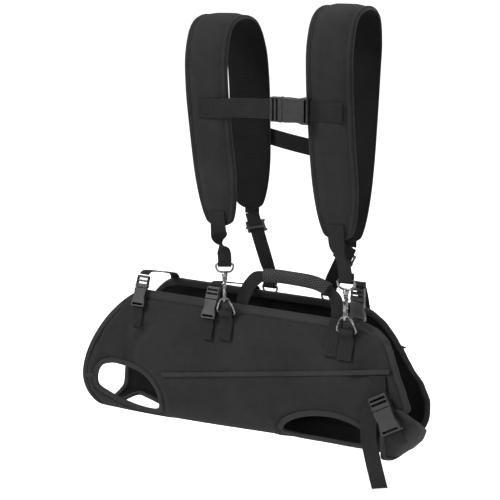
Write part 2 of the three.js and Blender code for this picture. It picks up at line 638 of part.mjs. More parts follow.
// Closure over the open top: tab and socket on the near panel, plug and strap to the far one.
const CLOSURE_T = 8;
const CLOSURE_STAND = 1.2;        // buckle's back face clear of the cloth
const CLOSURE_TAB = 27;           // sewn length of its tab
const PLUG_TOP = 20;              // plug's end above the parting line
function addClosure({ name, x, farX, topZ, inside }) {
  const web = CLOSURE_WEB;
  const lift = GAP + WEB_T / 2;
  const off = inside ? -SHELL - CLOSURE_STAND - CLOSURE_T / 2 : CLOSURE_STAND + CLOSURE_T / 2;
  const rim = onBody(x, girthAt(x, RIM_Z - 4, false), off);
  const low = inside ? rim.clone().add(V(0, 0, -20)) : onBody(x, girthAt(x, RIM_Z - 30, false), off);
  const down = low.clone().sub(rim).normalize();
  const at = rim.clone().addScaledVector(down, (topZ - PLUG_TOP - rim.z) / down.z);
  addBuckle(`closure_${name}`, web, CLOSURE_T, at, down, V(0, -1, 0));
  const end = at.clone().addScaledVector(down, BUCKLE_REACH(web) + GAP);
  const tabZ = Math.min(end.z - 3, RIM_Z - 3);
  const tabOut = inside ? -SHELL - lift - 1.2 : lift + 0.5;
  const tab = [end.clone().addScaledVector(down, WEB_T / 2)];
  for (const k of [0, 0.35, 0.7, 1]) tab.push(onBody(x, girthAt(x, tabZ - k * CLOSURE_TAB, false), tabOut));
  addNode(`closure_${name}_tab`, ribbon(tab, () => V(1, 0, 0), () => web, WEB_T, 10), WEBBING);
  const top = at.clone().addScaledVector(down, -(GAP * 2 + PLUG_TOP));
  const over = onBody(farX, girthAt(farX, RIM_Z - 1, true), 2.4);
  const strap = [top.clone().add(V(0, 0, 1.2)), top.clone().add(V(0, 6, 4)), V(lerp(x, farX, 0.4), -8, top.z - 1),
    V(lerp(x, farX, 0.75), 22, lerp(top.z, RIM_Z, 0.45)), over.add(V(0, -2, 5)),
    onBody(farX, girthAt(farX, RIM_Z - 10, true), lift + 0.4), onBody(farX, girthAt(farX, RIM_Z - 34, true), lift + 0.2)];
  addNode(`closure_${name}_strap`, ribbon(strap, () => V(1, 0, 0), () => web, WEB_T, 22), WEBBING);
}

// ---------- strap webbing ----------
function addNearWeb(strap, line) {
  const eye = eyePoint(strap, false);
  const tip = line.getPointAt(0);
  const yaw = strap.eyeTurn;
  const bend = WIRE / 2 + GAP + WEB_T / 2 + 1.4;
  const n = V(Math.sin(rad(yaw)), -Math.cos(rad(yaw)), 0);
  const outY = tip.y - PAD_FACE - WEB_T / 2;
  const points = [onPad(line, tip.z + 22, false), onPad(line, tip.z + 8, false), V(tip.x, outY, tip.z - 6),
    V(lerp(tip.x, eye.x, 0.5), lerp(outY, eye.y, 0.5), lerp(tip.z, eye.z, 0.5)),
    eye.clone().addScaledVector(n, bend).add(V(0, 0, 14)),
    eye.clone().addScaledVector(n, bend), eye.clone().addScaledVector(n, bend * 0.7).add(V(0, 0, -bend * 0.7)),
    eye.clone().add(V(0, 0, -bend)), eye.clone().addScaledVector(n, -bend * 0.7).add(V(0, 0, -bend * 0.7)),
    eye.clone().addScaledVector(n, -bend), eye.clone().addScaledVector(n, -bend).add(V(0, 0, 10))];
  const curve = new THREE.CatmullRomCurve3(points, false, 'centripetal');
  const zTop = tip.z - 4;
  const zLow = eye.z + 12;
  let turned = false;
  const across = (t) => {
    const z = curve.getPointAt(t).z;
    const k = THREE.MathUtils.smoothstep(-z, -zTop, -zLow);
    turned = turned || z < zLow;
    const waist = strap.twist === 0 ? -27 * Math.sin(Math.PI * k) : 0;
    const a = rad((turned ? 1 : k) * (yaw + strap.twist) + (turned ? 0 : waist));
    return V(Math.cos(a), Math.sin(a), 0);
  };
  const width = (t) => {
    const z = curve.getPointAt(t).z;
    return lerp(WEB, HOOK_WEB, THREE.MathUtils.smoothstep(-z, -zTop, -zLow));
  };
  addNode(`web_near_${strap.name}`, ribbon(points, across, width, WEB_T, 40), WEBBING);
}

const GLIDE_T = 2.6;
function addFarWeb(strap, line) {
  const eye = eyePoint(strap, true);
  const tip = line.getPointAt(1);
  const start = V(tip.x, tip.y + PAD_FACE + WEB_T / 2, tip.z - 10);
  const bend = WIRE / 2 + GAP + WEB_T / 2 + 1.4;
  const foot = eye.clone().add(V(0, bend, 10));
  const along = foot.clone().sub(start).normalize();
  const loop = [onPad(line, tip.z + 24, true), onPad(line, tip.z + 6, true), start];
  addNode(`pad_loop_${strap.name}`, ribbon(loop, () => V(1, 0, 0), () => WEB, WEB_T, 4), WEBBING);
  const top = start.clone().addScaledVector(along, (2 * GAP + (WEB / 2) * Math.abs(along.x)) / Math.abs(along.z));
  const eyeBack = eye.clone().add(V(0, bend, 0));
  const points = [top, top.clone().lerp(foot, 0.33), top.clone().lerp(foot, 0.67), foot, eyeBack,
    eye.clone().add(V(0, bend * 0.7, -bend * 0.7)), eye.clone().add(V(0, 0, -bend)),
    eye.clone().add(V(0, -bend * 0.7, -bend * 0.7)), eye.clone().add(V(0, -bend, 0)), eye.clone().add(V(0, -bend, 9))];
  const width = (t) => lerp(WEB, HOOK_WEB, THREE.MathUtils.smoothstep(t, 0.55, 0.8));
  addNode(`web_far_${strap.name}`, ribbon(points, () => V(1, 0, 0), width, WEB_T, 30), WEBBING);
  const half = WEB / 2 + 1 + 3;
  const rise = 18;
  let glide = toManifold(box(2 * half, GLIDE_T, rise));
  glide = glide.subtract(toManifold(box(WEB + 2, GLIDE_T * 3, rise - 6)));
  const offset = WEB_T / 2 + 3 * GAP + GLIDE_T / 2;
  for (const z of [-rise / 2 + 1.6, rise / 2 - 1.6]) {
    glide = glide.subtract(toManifold(box(WEB + 2, GLIDE_T * 3, 3.3, 0, 0, z)));
    glide = glide.add(toManifold(box(2 * half, GLIDE_T, 3.2, 0, offset, z)));
    for (const side of [-1, 1]) {
      glide = glide.add(toManifold(box(3, GLIDE_T + offset, 3.2, side * (half - 1.5), offset / 2, z)));
    }
  }
  glide = glide.add(toManifold(box(2 * half, GLIDE_T, 3.2, 0, -offset, 0)));
  for (const side of [-1, 1]) {
    glide = glide.add(toManifold(box(3, GLIDE_T + offset, 3.2, side * (half - 1.5), -offset / 2, 0)));
  }
  const mesh = addNode(`glide_${strap.name}`, fromManifold(glide), PLASTIC);
  const z = along.clone().negate();
  const x = V(1, 0, 0).addScaledVector(z, -z.x).normalize();
  const y = V().crossVectors(z, x);
  mesh.quaternion.setFromRotationMatrix(new THREE.Matrix4().makeBasis(x, y, z));
  mesh.position.copy(top.clone().lerp(foot, 0.17));
}

// ---------- build ----------
buildBody();
addNode('chest_panel', chestFlap(), FABRIC);
const lines = STRAPS.map(padLine);
STRAPS.forEach((strap, i) => {
  addNode(`pad_cover_${strap.name}`, padLayer(lines[i], PAD_LINING + 2 * GAP, PAD_COVER), FABRIC);
  addNode(`pad_lining_${strap.name}`, padLayer(lines[i], 0, PAD_LINING), LINING);
  addNearWeb(strap, lines[i]);
  addFarWeb(strap, lines[i]);
  addHangPoint(strap, false);
  addHangPoint(strap, true);
});
CLOSURES.forEach(addClosure);

// Sternum strap between the near legs.
const STERNUM_Z = -126;
const STERNUM_SAG = 6;            // the strap's rear end sits this much lower
const STERNUM_T = 11;
const STERNUM_X = 44;             // parting line of its buckle
function addSternum() {
  const left = padAt(lines[0], STERNUM_Z, false);
  const right = padAt(lines[1], STERNUM_Z, false);
  const y = Math.min(left.y, right.y) - PAD_FACE - GAP - WEB_T / 2 - 0.5;
  const buckleY = y - STERNUM_T / 2 - 0.4;
  const at = V(STERNUM_X, buckleY, STERNUM_Z);
  addBuckle('sternum', STERNUM_BUCKLE, STERNUM_T, at, V(1, 0, 0), V(0, -1, 0));
  const up = () => V(0, 0, 1);
  const plugEnd = STERNUM_X - GAP * 2 - PLUG_TOP;
  const web = [V(left.x - 10, y, STERNUM_Z - STERNUM_SAG), V(left.x + 16, y - 0.3, STERNUM_Z - STERNUM_SAG),
    V(left.x + 45, y - 1, STERNUM_Z - STERNUM_SAG / 2), V(plugEnd, buckleY, STERNUM_Z)];
  addNode('sternum_web', ribbon(web, up, () => STERNUM_WEB, WEB_T, 10), WEBBING);
  const socketEnd = STERNUM_X + BUCKLE_REACH(STERNUM_BUCKLE) + 3 * GAP;
  const anchor = [V(socketEnd, buckleY, STERNUM_Z), V(socketEnd + 8, y, STERNUM_Z), V(right.x + 10, y, STERNUM_Z),
    V(right.x + 22, y, STERNUM_Z)];
  addNode('sternum_anchor', ribbon(anchor, up, () => STERNUM_WEB, WEB_T, 8), WEBBING);
}
addSternum();

// Plain strap between the far legs.
const BACK_Z = -190;
function addBackStrap() {
  const left = padAt(lines[0], BACK_Z, true);
  const right = padAt(lines[1], BACK_Z - 12, true);
  const y = Math.max(left.y, right.y) + PAD_FACE + GAP + WEB_T / 2 + 0.5;
  const points = [V(left.x - 26, y, BACK_Z + 6), V(left.x + 20, y, BACK_Z + 3), V((left.x + right.x) / 2, y - 3, BACK_Z - 8),
    V(right.x - 20, y, BACK_Z - 16), V(right.x + 24, y, BACK_Z - 20)];
  addNode('back_strap', ribbon(points, () => V(0, 0, 1), () => WEB, WEB_T, 12), WEBBING);
}
addBackStrap();

// Grab handle standing on the near rim; its chest end carries on down the panel's outer face.
const HANDLE_RISE = 0.4;          // handle's ends clear of the rim's outer edge
const HANDLE_ANCHOR = 50;         // sewn length down the panel
function addHandle() {
  const y = onBody(0, 0, -SHELL / 2).y;
  const base = RIM_Z + HANDLE_RISE;
  const midX = lerp(HANDLE_REAR_X, HANDLE_FRONT_X, 0.5);
  const points = [V(HANDLE_REAR_X - 4, y, base - 6), V(HANDLE_REAR_X - 3, y, base + 6), V(HANDLE_REAR_X + 7, y, RIM_Z + 28),
    V(HANDLE_REAR_X + 24, y, HANDLE_TOP_Z - 3), V(midX, y, HANDLE_TOP_Z + 2), V(HANDLE_FRONT_X - 22, y, HANDLE_TOP_Z - 4),
    V(HANDLE_FRONT_X - 3, y, RIM_Z + 28), V(HANDLE_FRONT_X, y, base + 6), V(HANDLE_FRONT_X, y, base - 6)];
  const curve = new THREE.CatmullRomCurve3(points, false, 'centripetal');
  const across = (t) => V().crossVectors(curve.getTangentAt(t), V(0, 1, 0)).normalize();
  const gripEnd = (t) => {
    const p = curve.getPointAt(t);
    return p.z > RIM_Z + 20 ? Math.min(p.x - GRIP_REAR_X, GRIP_FRONT_X - p.x) : -20;
  };
  const width = (extra) => (t) => lerp(HANDLE_WEB, GRIP_D - 7, THREE.MathUtils.smoothstep(gripEnd(t), -9, 0)) + extra;
  const strip = toManifold(ribbon(points, across, width(0), WEB_T, 40));
  const above = box(2 * HANDLE_FRONT_X, 40, 100, midX, y, base + 50);
  addNode('handle_webbing', fromManifold(strip.intersect(toManifold(above))), WEBBING);
  const anchor = [0.2, 0.4, 0.7, 1].map((k) => {
    const s = girthAt(HANDLE_FRONT_X, RIM_Z - k * HANDLE_ANCHOR, false);
    return onBody(HANDLE_FRONT_X, s, GAP + WEB_T / 2 + 0.3);
  });
  const top = onBody(HANDLE_FRONT_X, 0, GAP + WEB_T / 2 + 0.3).add(V(0, -0.2, -1));
  addNode('handle_anchor', ribbon([top, ...anchor], () => V(1, 0, 0), () => HANDLE_WEB, WEB_T, 8), WEBBING);
  const rings = [];
  const steps = 10;
  const sides = 10;
  for (let i = 0; i <= steps; i++) {
    const x = lerp(GRIP_REAR_X, GRIP_FRONT_X, i / steps);
    let t = 0.5;
    for (let k = 0; k < 40; k++) t += (x - curve.getPointAt(t).x) / curve.getLength() * 0.8;
    const p = curve.getPointAt(t);
    const w = across(t);
    const r = (GRIP_D / 2) * (i === 0 || i === steps ? 0.82 : 1);
    rings.push(Array.from({ length: sides }, (_, j) => {
      const a = (j / sides) * 2 * Math.PI;
      return p.clone().addScaledVector(w, Math.cos(a) * r).add(V(0, Math.sin(a) * r * 0.85, 0));
    }));
  }
  const slot = ribbon(points, across, width(2 * GAP), WEB_T + 2 * GAP, 40);
  addNode('handle_grip', fromManifold(toManifold(loft(rings)).subtract(toManifold(slot))), FABRIC);
}
addHandle();

// Chest buckle on the near side: strap from under the side seam, its loose tail, and the flap's tab.
const CHEST_BUCKLE_T = 9.5;
const CHEST_OFF = 12;             // buckle's middle plane off the widest part of the panel
const CHEST_PARTING = V(203, -HALF_WIDTH - CHEST_OFF, -527);
const CHEST_DOWN = V(0.5, -0.1, -0.86).normalize();
function addChestBuckle() {
  addBuckle('chest', WEB, CHEST_BUCKLE_T, CHEST_PARTING, CHEST_DOWN, V(0, -1, 0));
  const behind = (CHEST_BUCKLE_T - 1.5) / 2 + GAP * 5 + WEB_T / 2;
  const onPanel = (x, z) => onBody(x, girthAt(x, z, false), GAP + WEB_T / 2 + 0.5);
  const alongPlug = (k, dx) => CHEST_PARTING.clone().addScaledVector(CHEST_DOWN, -k).add(V(dx, behind, 0));
  const hang = CHEST_PARTING.y + behind + 0.4;
  const points = [onPanel(187, seamZ(187) - 2), onPanel(188.5, seamZ(187) - 11), alongPlug(19, -2.5), alongPlug(8, -11),
    V(180.5, hang, -545), V(180, hang, -576), V(187, hang, -608), V(198, hang + 1, -648)];
  addNode('chest_strap', ribbon(points, () => V(1, 0, 0.1), () => WEB, WEB_T, 26), WEBBING);
  const end = CHEST_PARTING.clone().addScaledVector(CHEST_DOWN, BUCKLE_REACH(WEB) + GAP);
  const tab = [end, end.clone().addScaledVector(CHEST_DOWN, 5), end.clone().addScaledVector(CHEST_DOWN, 12).add(V(0, 2, 0)),
    end.clone().addScaledVector(CHEST_DOWN, 20).add(V(0, 7, 0))];
  addNode('chest_tab', ribbon(tab, () => V(0.866, 0, 0.5), () => WEB, WEB_T, 6), WEBBING);
}
addChestBuckle();

export default model;
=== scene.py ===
"""Looks of a dog lift-and-carry sling that hangs by snap hooks from two padded shoulder straps.

Everything is in metres in the model's own frame: +Z up, +X to the chest end, +Y to the far side.
Shapes are worked out in millimetres on numpy grids and scaled as they go into their meshes.
"""
import math

import bpy
import numpy as np
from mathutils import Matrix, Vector


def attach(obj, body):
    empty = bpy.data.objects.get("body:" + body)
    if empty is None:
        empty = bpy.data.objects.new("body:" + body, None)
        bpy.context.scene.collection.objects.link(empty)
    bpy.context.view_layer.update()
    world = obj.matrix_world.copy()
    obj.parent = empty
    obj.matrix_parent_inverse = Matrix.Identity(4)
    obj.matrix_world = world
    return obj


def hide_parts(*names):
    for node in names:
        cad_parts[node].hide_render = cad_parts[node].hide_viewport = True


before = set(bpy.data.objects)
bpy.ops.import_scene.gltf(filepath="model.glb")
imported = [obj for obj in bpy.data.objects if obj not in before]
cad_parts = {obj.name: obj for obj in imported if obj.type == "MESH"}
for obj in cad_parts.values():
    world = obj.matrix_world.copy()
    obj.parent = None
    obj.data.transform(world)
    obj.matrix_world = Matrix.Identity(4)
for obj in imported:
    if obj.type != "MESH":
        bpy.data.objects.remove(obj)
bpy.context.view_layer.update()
MM = 0.001
WEB, STRAP_THICK, STRAP_STEP = 25.0, 1.75, 2.0   # webbing: width, thickness, length of a step

# ---------- sizes, in millimetres ----------
RIM_Z, FLOOR_REAR, FLOOR_FRONT = -422.0, -626.0, -610.0
HALF_WIDTH, SHELL = 72.0, 4.0
REAR_X, REAR_X_FAR, RIM_REAR_X = -320.0, -333.0, -216.0
REAR_FULL, REAR_FULL_FAR = -568.0, -590.0
REAR_HEM, REAR_HEM_FAR, REAR_ROUND = -300.0, -322.0, 1.5
SEAM_MID, SEAM_SLOPE = -517.0, 0.172
FAR_REAR_SHIFT = 36.0

PAD_WIDTH, PAD_COVER, PAD_LINING, PAD_AIR = 68.0, 5.5, 2.5, 0.35
PAD_HALF_SPAN, PAD_TIP_ROUND, PAD_TIP_WIDTH, PAD_TIP_LEAN = 62.0, 95.0, 27.0, 2.0
PADS = {
    "rear": dict(x=-98.0, top=-12.0, near=(-68.0, -302.0), far=(-92.0, -300.0)),
    "front": dict(x=98.0, top=5.0, near=(122.0, -302.0), far=(74.0, -334.0)),
}

# Leg openings seen from the side (x, z), and the gap in the floor seen from above (x, y).
REAR_LEG = [(-292, -581), (-292, -562), (-283, -547), (-262, -539), (-236, -540), (-211, -545),
            (-191, -558), (-179, -578), (-180, -599), (-190, -609), (-222, -609), (-252, -601),
            (-276, -591)]
FRONT_LEG = [(34, -598), (42, -584), (62, -571), (90, -562), (124, -559), (152, -564), (170, -573),
             (177, -590), (160, -601), (100, -603), (52, -603)]
FLOOR_GAP = [(-284, -30), (-286, 0), (-282, 27), (-262, 22), (-226, 6), (-194, -12), (-190, -20),
             (-206, -30), (-246, -34)]

# Straps: stations along each one as centre x, y, z, the direction across it, and its width.
STRAPS = {
    "web_near_rear": [
        (-69.9, -70.6, -280, 1, -0, 0.09, 25), (-69, -70.2, -290.3, 1, -0, 0.08, 25),
        (-68.4, -70.1, -300.7, 1, 0, 0.04, 25), (-67.7, -69.5, -311, 0.99, 0.13, 0.1, 24.8),
        (-66.8, -67.4, -321.1, 0.41, 0.88, 0.23, 23.5),
        (-65.1, -65.7, -331.2, -0.74, 0.65, -0.13, 21.7),
        (-61.5, -65.4, -340.9, -0.89, -0.32, -0.32, 20.3), (-60, -65.6, -351.1, -0.87, -0.5, 0.02, 20),
        (-60.1, -65.6, -356.3, -0.86, -0.5, 0.05, 20), (-60.8, -64.8, -361.3, -0.87, -0.5, 0, 20),
        (-63, -60.9, -363.1, -0.87, -0.5, -0, 20), (-64.1, -59, -361.7, -0.87, -0.5, -0, 20),
        (-64.6, -58.1, -359.3, -0.87, -0.5, -0, 20), (-64.7, -57.9, -356.8, -0.87, -0.5, -0, 20),
        (-64.7, -57.9, -354.2, -0.87, -0.5, 0, 20), (-64.7, -58, -351.6, -0.87, -0.5, -0, 20),
        (-64.6, -58.1, -349, -0.87, -0.5, -0, 20),],
    "pad_loop_rear": [
        (-92.1, 70.7, -276, 1, 0, 0, 25), (-92, 70.1, -293, 1, 0, 0, 25),
        (-92, 69.8, -310, 1, 0, 0, 25),],
    "web_far_rear": [
        (-91.1, 70.4, -313.6, 0.97, -0.04, 0.23, 25), (-84.8, 74.8, -339.9, 0.97, -0.04, 0.23, 25),
        (-78.5, 79.2, -366.1, 0.97, -0.04, 0.23, 25), (-73.2, 82.9, -388, 0.97, -0.05, 0.25, 24.9),
        (-69.7, 85.3, -401, 0.97, -0.04, 0.24, 22.7), (-67.7, 86.7, -409.8, 0.98, -0.03, 0.19, 20.9),
        (-67, 87.2, -414.3, 0.99, -0.01, 0.11, 20.2), (-66.8, 87.5, -418.8, 1, 0, -0.02, 20),
        (-67, 87.3, -423.4, 1, -0, -0.03, 20), (-67, 85.4, -427.4, 1, 0, 0, 20),
        (-67, 81.1, -427.8, 1, 0, 0, 20), (-67, 78.7, -424.1, 1, 0, 0, 20),
        (-67, 78.5, -419.6, 1, 0, 0, 20), (-67, 78.7, -415, 1, 0, 0, 20),],
    "ring_tab_near_rear": [
        (-62.5, -54.4, -437.1, 1, 0, 0, 23), (-62.5, -54.3, -434.7, 1, 0, 0, 23),
        (-62.5, -54.9, -432.5, 1, 0, 0, 23), (-62.5, -56.6, -431, 1, 0, 0, 23),
        (-62.5, -58.9, -430.9, 1, 0, 0, 23), (-62.5, -60.6, -432.4, 1, 0, 0, 23),
        (-62.5, -61.2, -434.7, 1, 0, 0, 23), (-62.5, -61.2, -437, 1, 0, -0, 23),
        (-62.5, -60.3, -439.1, 1, 0, -0, 23), (-62.5, -57.4, -442.8, 1, 0, -0, 23),
        (-62.5, -57.4, -449.4, 1, -0, -0, 23), (-62.5, -61, -457.9, 1, -0, -0, 23),
        (-62.5, -63.7, -466.9, 1, -0, -0, 23), (-62.5, -65.5, -473.7, 1, -0, -0, 23),],
    "ring_tab_far_rear": [
        (-67, 75.6, -502.1, 1, 0, 0, 23), (-67, 75.5, -499.6, 1, 0, 0, 23),
        (-67, 76.2, -497.3, 1, 0, 0, 23), (-67, 78.1, -495.8, 1, 0, 0, 23),
        (-67, 80.4, -496.1, 1, 0, 0, 23), (-67, 82, -497.9, 1, 0, 0, 23),
        (-67, 82.5, -500.3, 1, -0, 0, 23), (-67, 82.2, -502.7, 1, -0, -0, 23),
        (-67, 80.5, -504.4, 1, -0, -0, 23), (-67, 76.4, -507, 1, -0, -0, 23),
        (-67, 71.8, -512.3, 1, 0, 0, 23), (-67, 73.2, -522, 1, -0, 0, 23),
        (-67, 73.7, -531.7, 1, -0, 0, 23), (-67, 73.8, -539.1, 1, -0, 0, 23),],
    "web_near_front": [
        (120.5, -70.6, -280, 1, -0, 0.07, 25), (121.2, -70.2, -290.4, 1, -0, 0.07, 25),
        (121.5, -70.1, -300.9, 1, 0, 0.01, 25), (122.6, -69.4, -311.3, 0.98, -0.09, 0.18, 24.8),
        (125.1, -67.5, -321.3, 0.9, -0.4, 0.18, 23.4), (128.2, -66, -331.2, 0.87, -0.39, 0.31, 21.7),
        (132.8, -66.2, -340.6, 0.91, -0.01, 0.42, 20.3), (134.7, -66.6, -350.8, 1, 0.07, -0.02, 20),
        (134.5, -66.7, -356, 1, 0.07, -0.07, 20), (134.3, -65.8, -361.1, 1, 0.07, -0, 20),
        (133.9, -61.3, -363.1, 1, 0.07, -0, 20), (133.8, -59.1, -361.8, 1, 0.07, 0, 20),
        (133.7, -58.1, -359.5, 1, 0.07, 0, 20), (133.7, -57.8, -356.9, 1, 0.07, 0, 20),
        (133.7, -57.8, -354.2, 1, 0.07, -0, 20), (133.7, -57.9, -351.6, 1, 0.07, 0, 20),
        (133.7, -58, -349, 1, 0.07, 0, 20),],
    "pad_loop_front": [
        (74.3, 70.7, -310, 1, -0, -0.01, 25), (74.1, 70.1, -327, 1, -0, -0.01, 25),
        (74, 69.8, -344, 1, -0, -0.01, 25),],
    "web_far_front": [
        (70.5, 71.5, -350.5, 0.88, 0.11, -0.45, 25), (60.6, 76.1, -368.8, 0.88, 0.11, -0.45, 25),
        (50.6, 80.7, -387, 0.88, 0.11, -0.45, 25), (42, 84.7, -402, 0.86, 0.14, -0.49, 24.9),
        (37, 87, -411.1, 0.92, 0.07, -0.38, 22.7), (35.6, 87.8, -417.9, 1, -0, 0.01, 20.9),
        (35.8, 87.7, -421.4, 1, 0.01, 0.1, 20.2), (36, 87.2, -424.9, 1, 0, 0, 20),
        (36, 85.2, -427.7, 1, 0, 0, 20), (36, 81.8, -428, 1, 0, 0, 20), (36, 79.4, -425.6, 1, 0, 0, 20),
        (36, 78.8, -422.1, 1, 0, 0, 20), (36, 78.8, -418.5, 1, 0, 0, 20),
        (36, 78.9, -415, 1, 0, 0, 20),],
    "ring_tab_near_front": [
        (134, -54.9, -437.1, 1, 0, 0, 23), (134, -54.8, -434.7, 1, 0, 0, 23),
        (134, -55.3, -432.5, 1, 0, 0, 23), (134, -57, -431, 1, 0, 0, 23),
        (134, -59.3, -430.9, 1, 0, 0, 23), (134, -61, -432.4, 1, 0, 0, 23),
        (134, -61.7, -434.7, 1, 0, 0, 23), (134, -61.7, -437, 1, 0, -0, 23),
        (134, -60.7, -439.1, 1, 0, -0, 23), (134, -57.9, -442.8, 1, 0, -0, 23),
        (134, -57.8, -449.4, 1, -0, -0, 23), (134, -61.6, -457.9, 1, -0, -0, 23),
        (134, -64.3, -466.9, 1, -0, -0, 23), (134, -66.1, -473.6, 1, -0, -0, 23),],
    "ring_tab_far_front": [
        (36, 75.8, -502.1, 1, 0, 0, 23), (36, 75.8, -499.6, 1, 0, 0, 23),
        (36, 76.4, -497.3, 1, 0, 0, 23), (36, 78.3, -495.8, 1, 0, 0, 23),
        (36, 80.7, -496.1, 1, 0, 0, 23), (36, 82.2, -497.9, 1, 0, 0, 23),
        (36, 82.8, -500.3, 1, -0, 0, 23), (36, 82.5, -502.7, 1, -0, -0, 23),
        (36, 80.8, -504.4, 1, -0, -0, 23), (36, 76.7, -507, 1, -0, -0, 23),
        (36, 72.1, -512.4, 1, 0, 0, 23), (36, 73.4, -522, 1, -0, 0, 23),
        (36, 73.7, -531.8, 1, -0, 0, 23), (36, 73.7, -539.1, 1, -0, 0, 23),],
    "closure_rear_tab": [
        (-219, -60.4, -446.9, 1, -0, 0, 17), (-219, -59.1, -454.2, 1, -0, -0, 17),
        (-219, -63.2, -466.4, 1, -0, -0, 17), (-219, -65.7, -475.7, 1, -0, -0, 17),],
    "closure_rear_strap": [
        (-219, -41.2, -398.6, 1, -0, -0, 17), (-219, -35.8, -396, 1, 0.02, 0, 17),
        (-219.2, -29.9, -396, 1, 0.04, -0.01, 17), (-219.5, -24, -397, 1, 0.05, -0.01, 17),
        (-220, -12.4, -399.8, 1, 0.04, -0.01, 17), (-220.7, 4.9, -404.4, 1, 0.04, -0.01, 17),
        (-221.3, 22.1, -409.8, 1, 0.01, -0, 17), (-221, 39.5, -414, 1, -0.01, 0, 17),
        (-221.4, 47.9, -421.7, 1, 0.02, -0.07, 17), (-221.8, 49.1, -427.6, 1, 0.01, -0.06, 17),
        (-222.1, 50.8, -433.3, 1, 0.01, -0.02, 17), (-222.1, 53, -438.9, 1, 0, -0, 17),
        (-222.1, 55.2, -444.4, 1, -0, 0.01, 17), (-222, 59.6, -455.6, 1, 0, -0, 17),],
    "closure_middle_tab": [
        (-92, -61, -447.8, 1, -0, 0, 17), (-92, -59.6, -455.1, 1, -0, -0, 17),
        (-92, -63.8, -467.3, 1, -0, -0, 17), (-92, -66.2, -476.7, 1, -0, -0, 17),],
    "closure_middle_strap": [
        (-92, -41.4, -399.7, 1, 0, 0, 17), (-92.1, -36, -397, 0.99, -0.1, -0.02, 17),
        (-90.9, -30.1, -397, 0.97, -0.24, 0.03, 17), (-89.3, -24.3, -398, 0.96, -0.26, 0.05, 17),
        (-86.1, -12.9, -400.7, 0.97, -0.25, 0.06, 17), (-82.1, 4.3, -405.2, 0.98, -0.19, 0.05, 17),
        (-78.6, 21.4, -410.2, 0.98, -0.18, 0.05, 17), (-75.1, 38.9, -413.9, 0.98, -0.17, 0.05, 17),
        (-73.8, 47.8, -421.3, 1, 0, -0, 17), (-73.9, 49.1, -427.2, 1, 0.01, -0.03, 17),
        (-74, 50.8, -433, 1, 0, -0, 17), (-74, 53.1, -438.7, 1, 0, -0, 17),
        (-74, 55.3, -444.3, 1, 0, -0, 17), (-74, 59.9, -455.6, 1, 0, -0, 17),],
    "closure_front_tab": [
        (141, -37.9, -424.1, 1, -0, -0, 17), (141, -42.7, -433.3, 1, 0, 0, 17),
        (141, -48.3, -445.9, 1, 0, 0, 17), (141, -52.3, -455.5, 1, 0, 0, 17),],
    "closure_front_strap": [
        (141, -37.9, -372.1, 1, -0, -0, 17), (141, -32, -369.3, 0.97, 0.22, 0.03, 17),
        (138.5, -25.8, -369.4, 0.9, 0.44, -0.05, 17), (135.5, -20, -370.4, 0.88, 0.46, -0.1, 17),
        (129.7, -8.6, -374, 0.93, 0.34, -0.14, 17), (123.8, 7.6, -383.9, 0.97, 0.2, -0.15, 17),
        (119, 22.8, -395.9, 0.97, 0.19, -0.16, 17), (114.1, 37.6, -408.4, 0.98, 0.16, -0.15, 17),
        (111.8, 46.1, -418.4, 1, 0.04, -0.07, 17), (111.8, 48.4, -424.6, 1, -0.01, 0.04, 17),
        (112, 50.3, -430.9, 1, -0, 0.01, 17), (112, 52.7, -437.1, 1, 0, -0, 17),
        (112, 55.3, -443.3, 1, 0, -0, 17), (112, 60.4, -455.5, 1, 0, -0, 17),],
    "sternum_web": [
        (-96.5, -74, -132, 0, -0, 1, 27), (-72.5, -74.3, -132.1, -0.04, 0, 1, 27),
        (-36.6, -75.3, -128.7, -0.06, 0, 1, 27), (-0.7, -78, -127, -0.04, 0, 1, 27),
        (23.3, -79.9, -126, -0.05, 0, 1, 27),],
    "sternum_anchor": [
        (83.8, -79.9, -126, 0, 0, 1, 27), (93.7, -73.6, -126, 0, 0, 1, 27),
        (105.8, -73.4, -126, 0, 0, 1, 27), (117.9, -74, -126, 0, 0, 1, 27),
        (129.9, -74, -126, 0, 0, 1, 27),],
    "back_strap": [
        (-119.1, 73.7, -184, 0.07, 0, 1, 25), (-81.7, 73.8, -186.1, 0.09, -0, 1, 25),
        (-26.2, 71.2, -194.8, 0.17, -0.01, 0.98, 25), (10.9, 71.1, -200.3, 0.13, 0.01, 0.99, 25),
        (66.8, 73.8, -206.7, 0.1, 0, 1, 25), (104.1, 73.7, -210, 0.09, -0, 1, 25),],
    "handle_webbing": [
        (-44, -42.8, -427.6, -1, 0, 0.08, 20), (-43.2, -42.8, -416.3, -0.97, 0, 0.22, 20),
        (-39.4, -42.8, -405.6, -0.91, 0, 0.4, 20), (-34.1, -42.8, -395.6, -0.84, 0, 0.54, 20),
        (-27.5, -42.8, -386.4, -0.78, 0, 0.63, 20), (-19.2, -42.8, -378.8, -0.54, 0, 0.84, 20),
        (-3.1, -42.8, -373.5, -0.15, 0, 0.99, 13), (13.8, -42.8, -372.1, -0.03, 0, 1, 13),
        (36.5, -42.8, -372, 0.01, 0, 1, 13), (59.2, -42.8, -372.6, 0.06, 0, 1, 13),
        (76.1, -42.8, -374.3, 0.16, 0, 0.99, 13), (92.3, -42.8, -379.1, 0.44, 0, 0.9, 13),
        (101.8, -42.8, -385.3, 0.66, 0, 0.75, 15.7), (109, -42.8, -394, 0.88, 0, 0.48, 20),
        (111.6, -42.8, -404.9, 1, 0, 0.07, 20), (112, -42.8, -416.3, 1, 0, 0.06, 20),
        (112, -42.8, -427.6, 1, 0, -0, 20),],
    "handle_anchor": [
        (112, -46.2, -422.4, 1, -0, -0, 20), (112, -54.4, -440.5, 1, -0, -0, 20),
        (112, -59.5, -452.7, 1, -0, -0, 20), (112, -65.3, -471.6, 1, -0, -0, 20),],
    "chest_strap": [
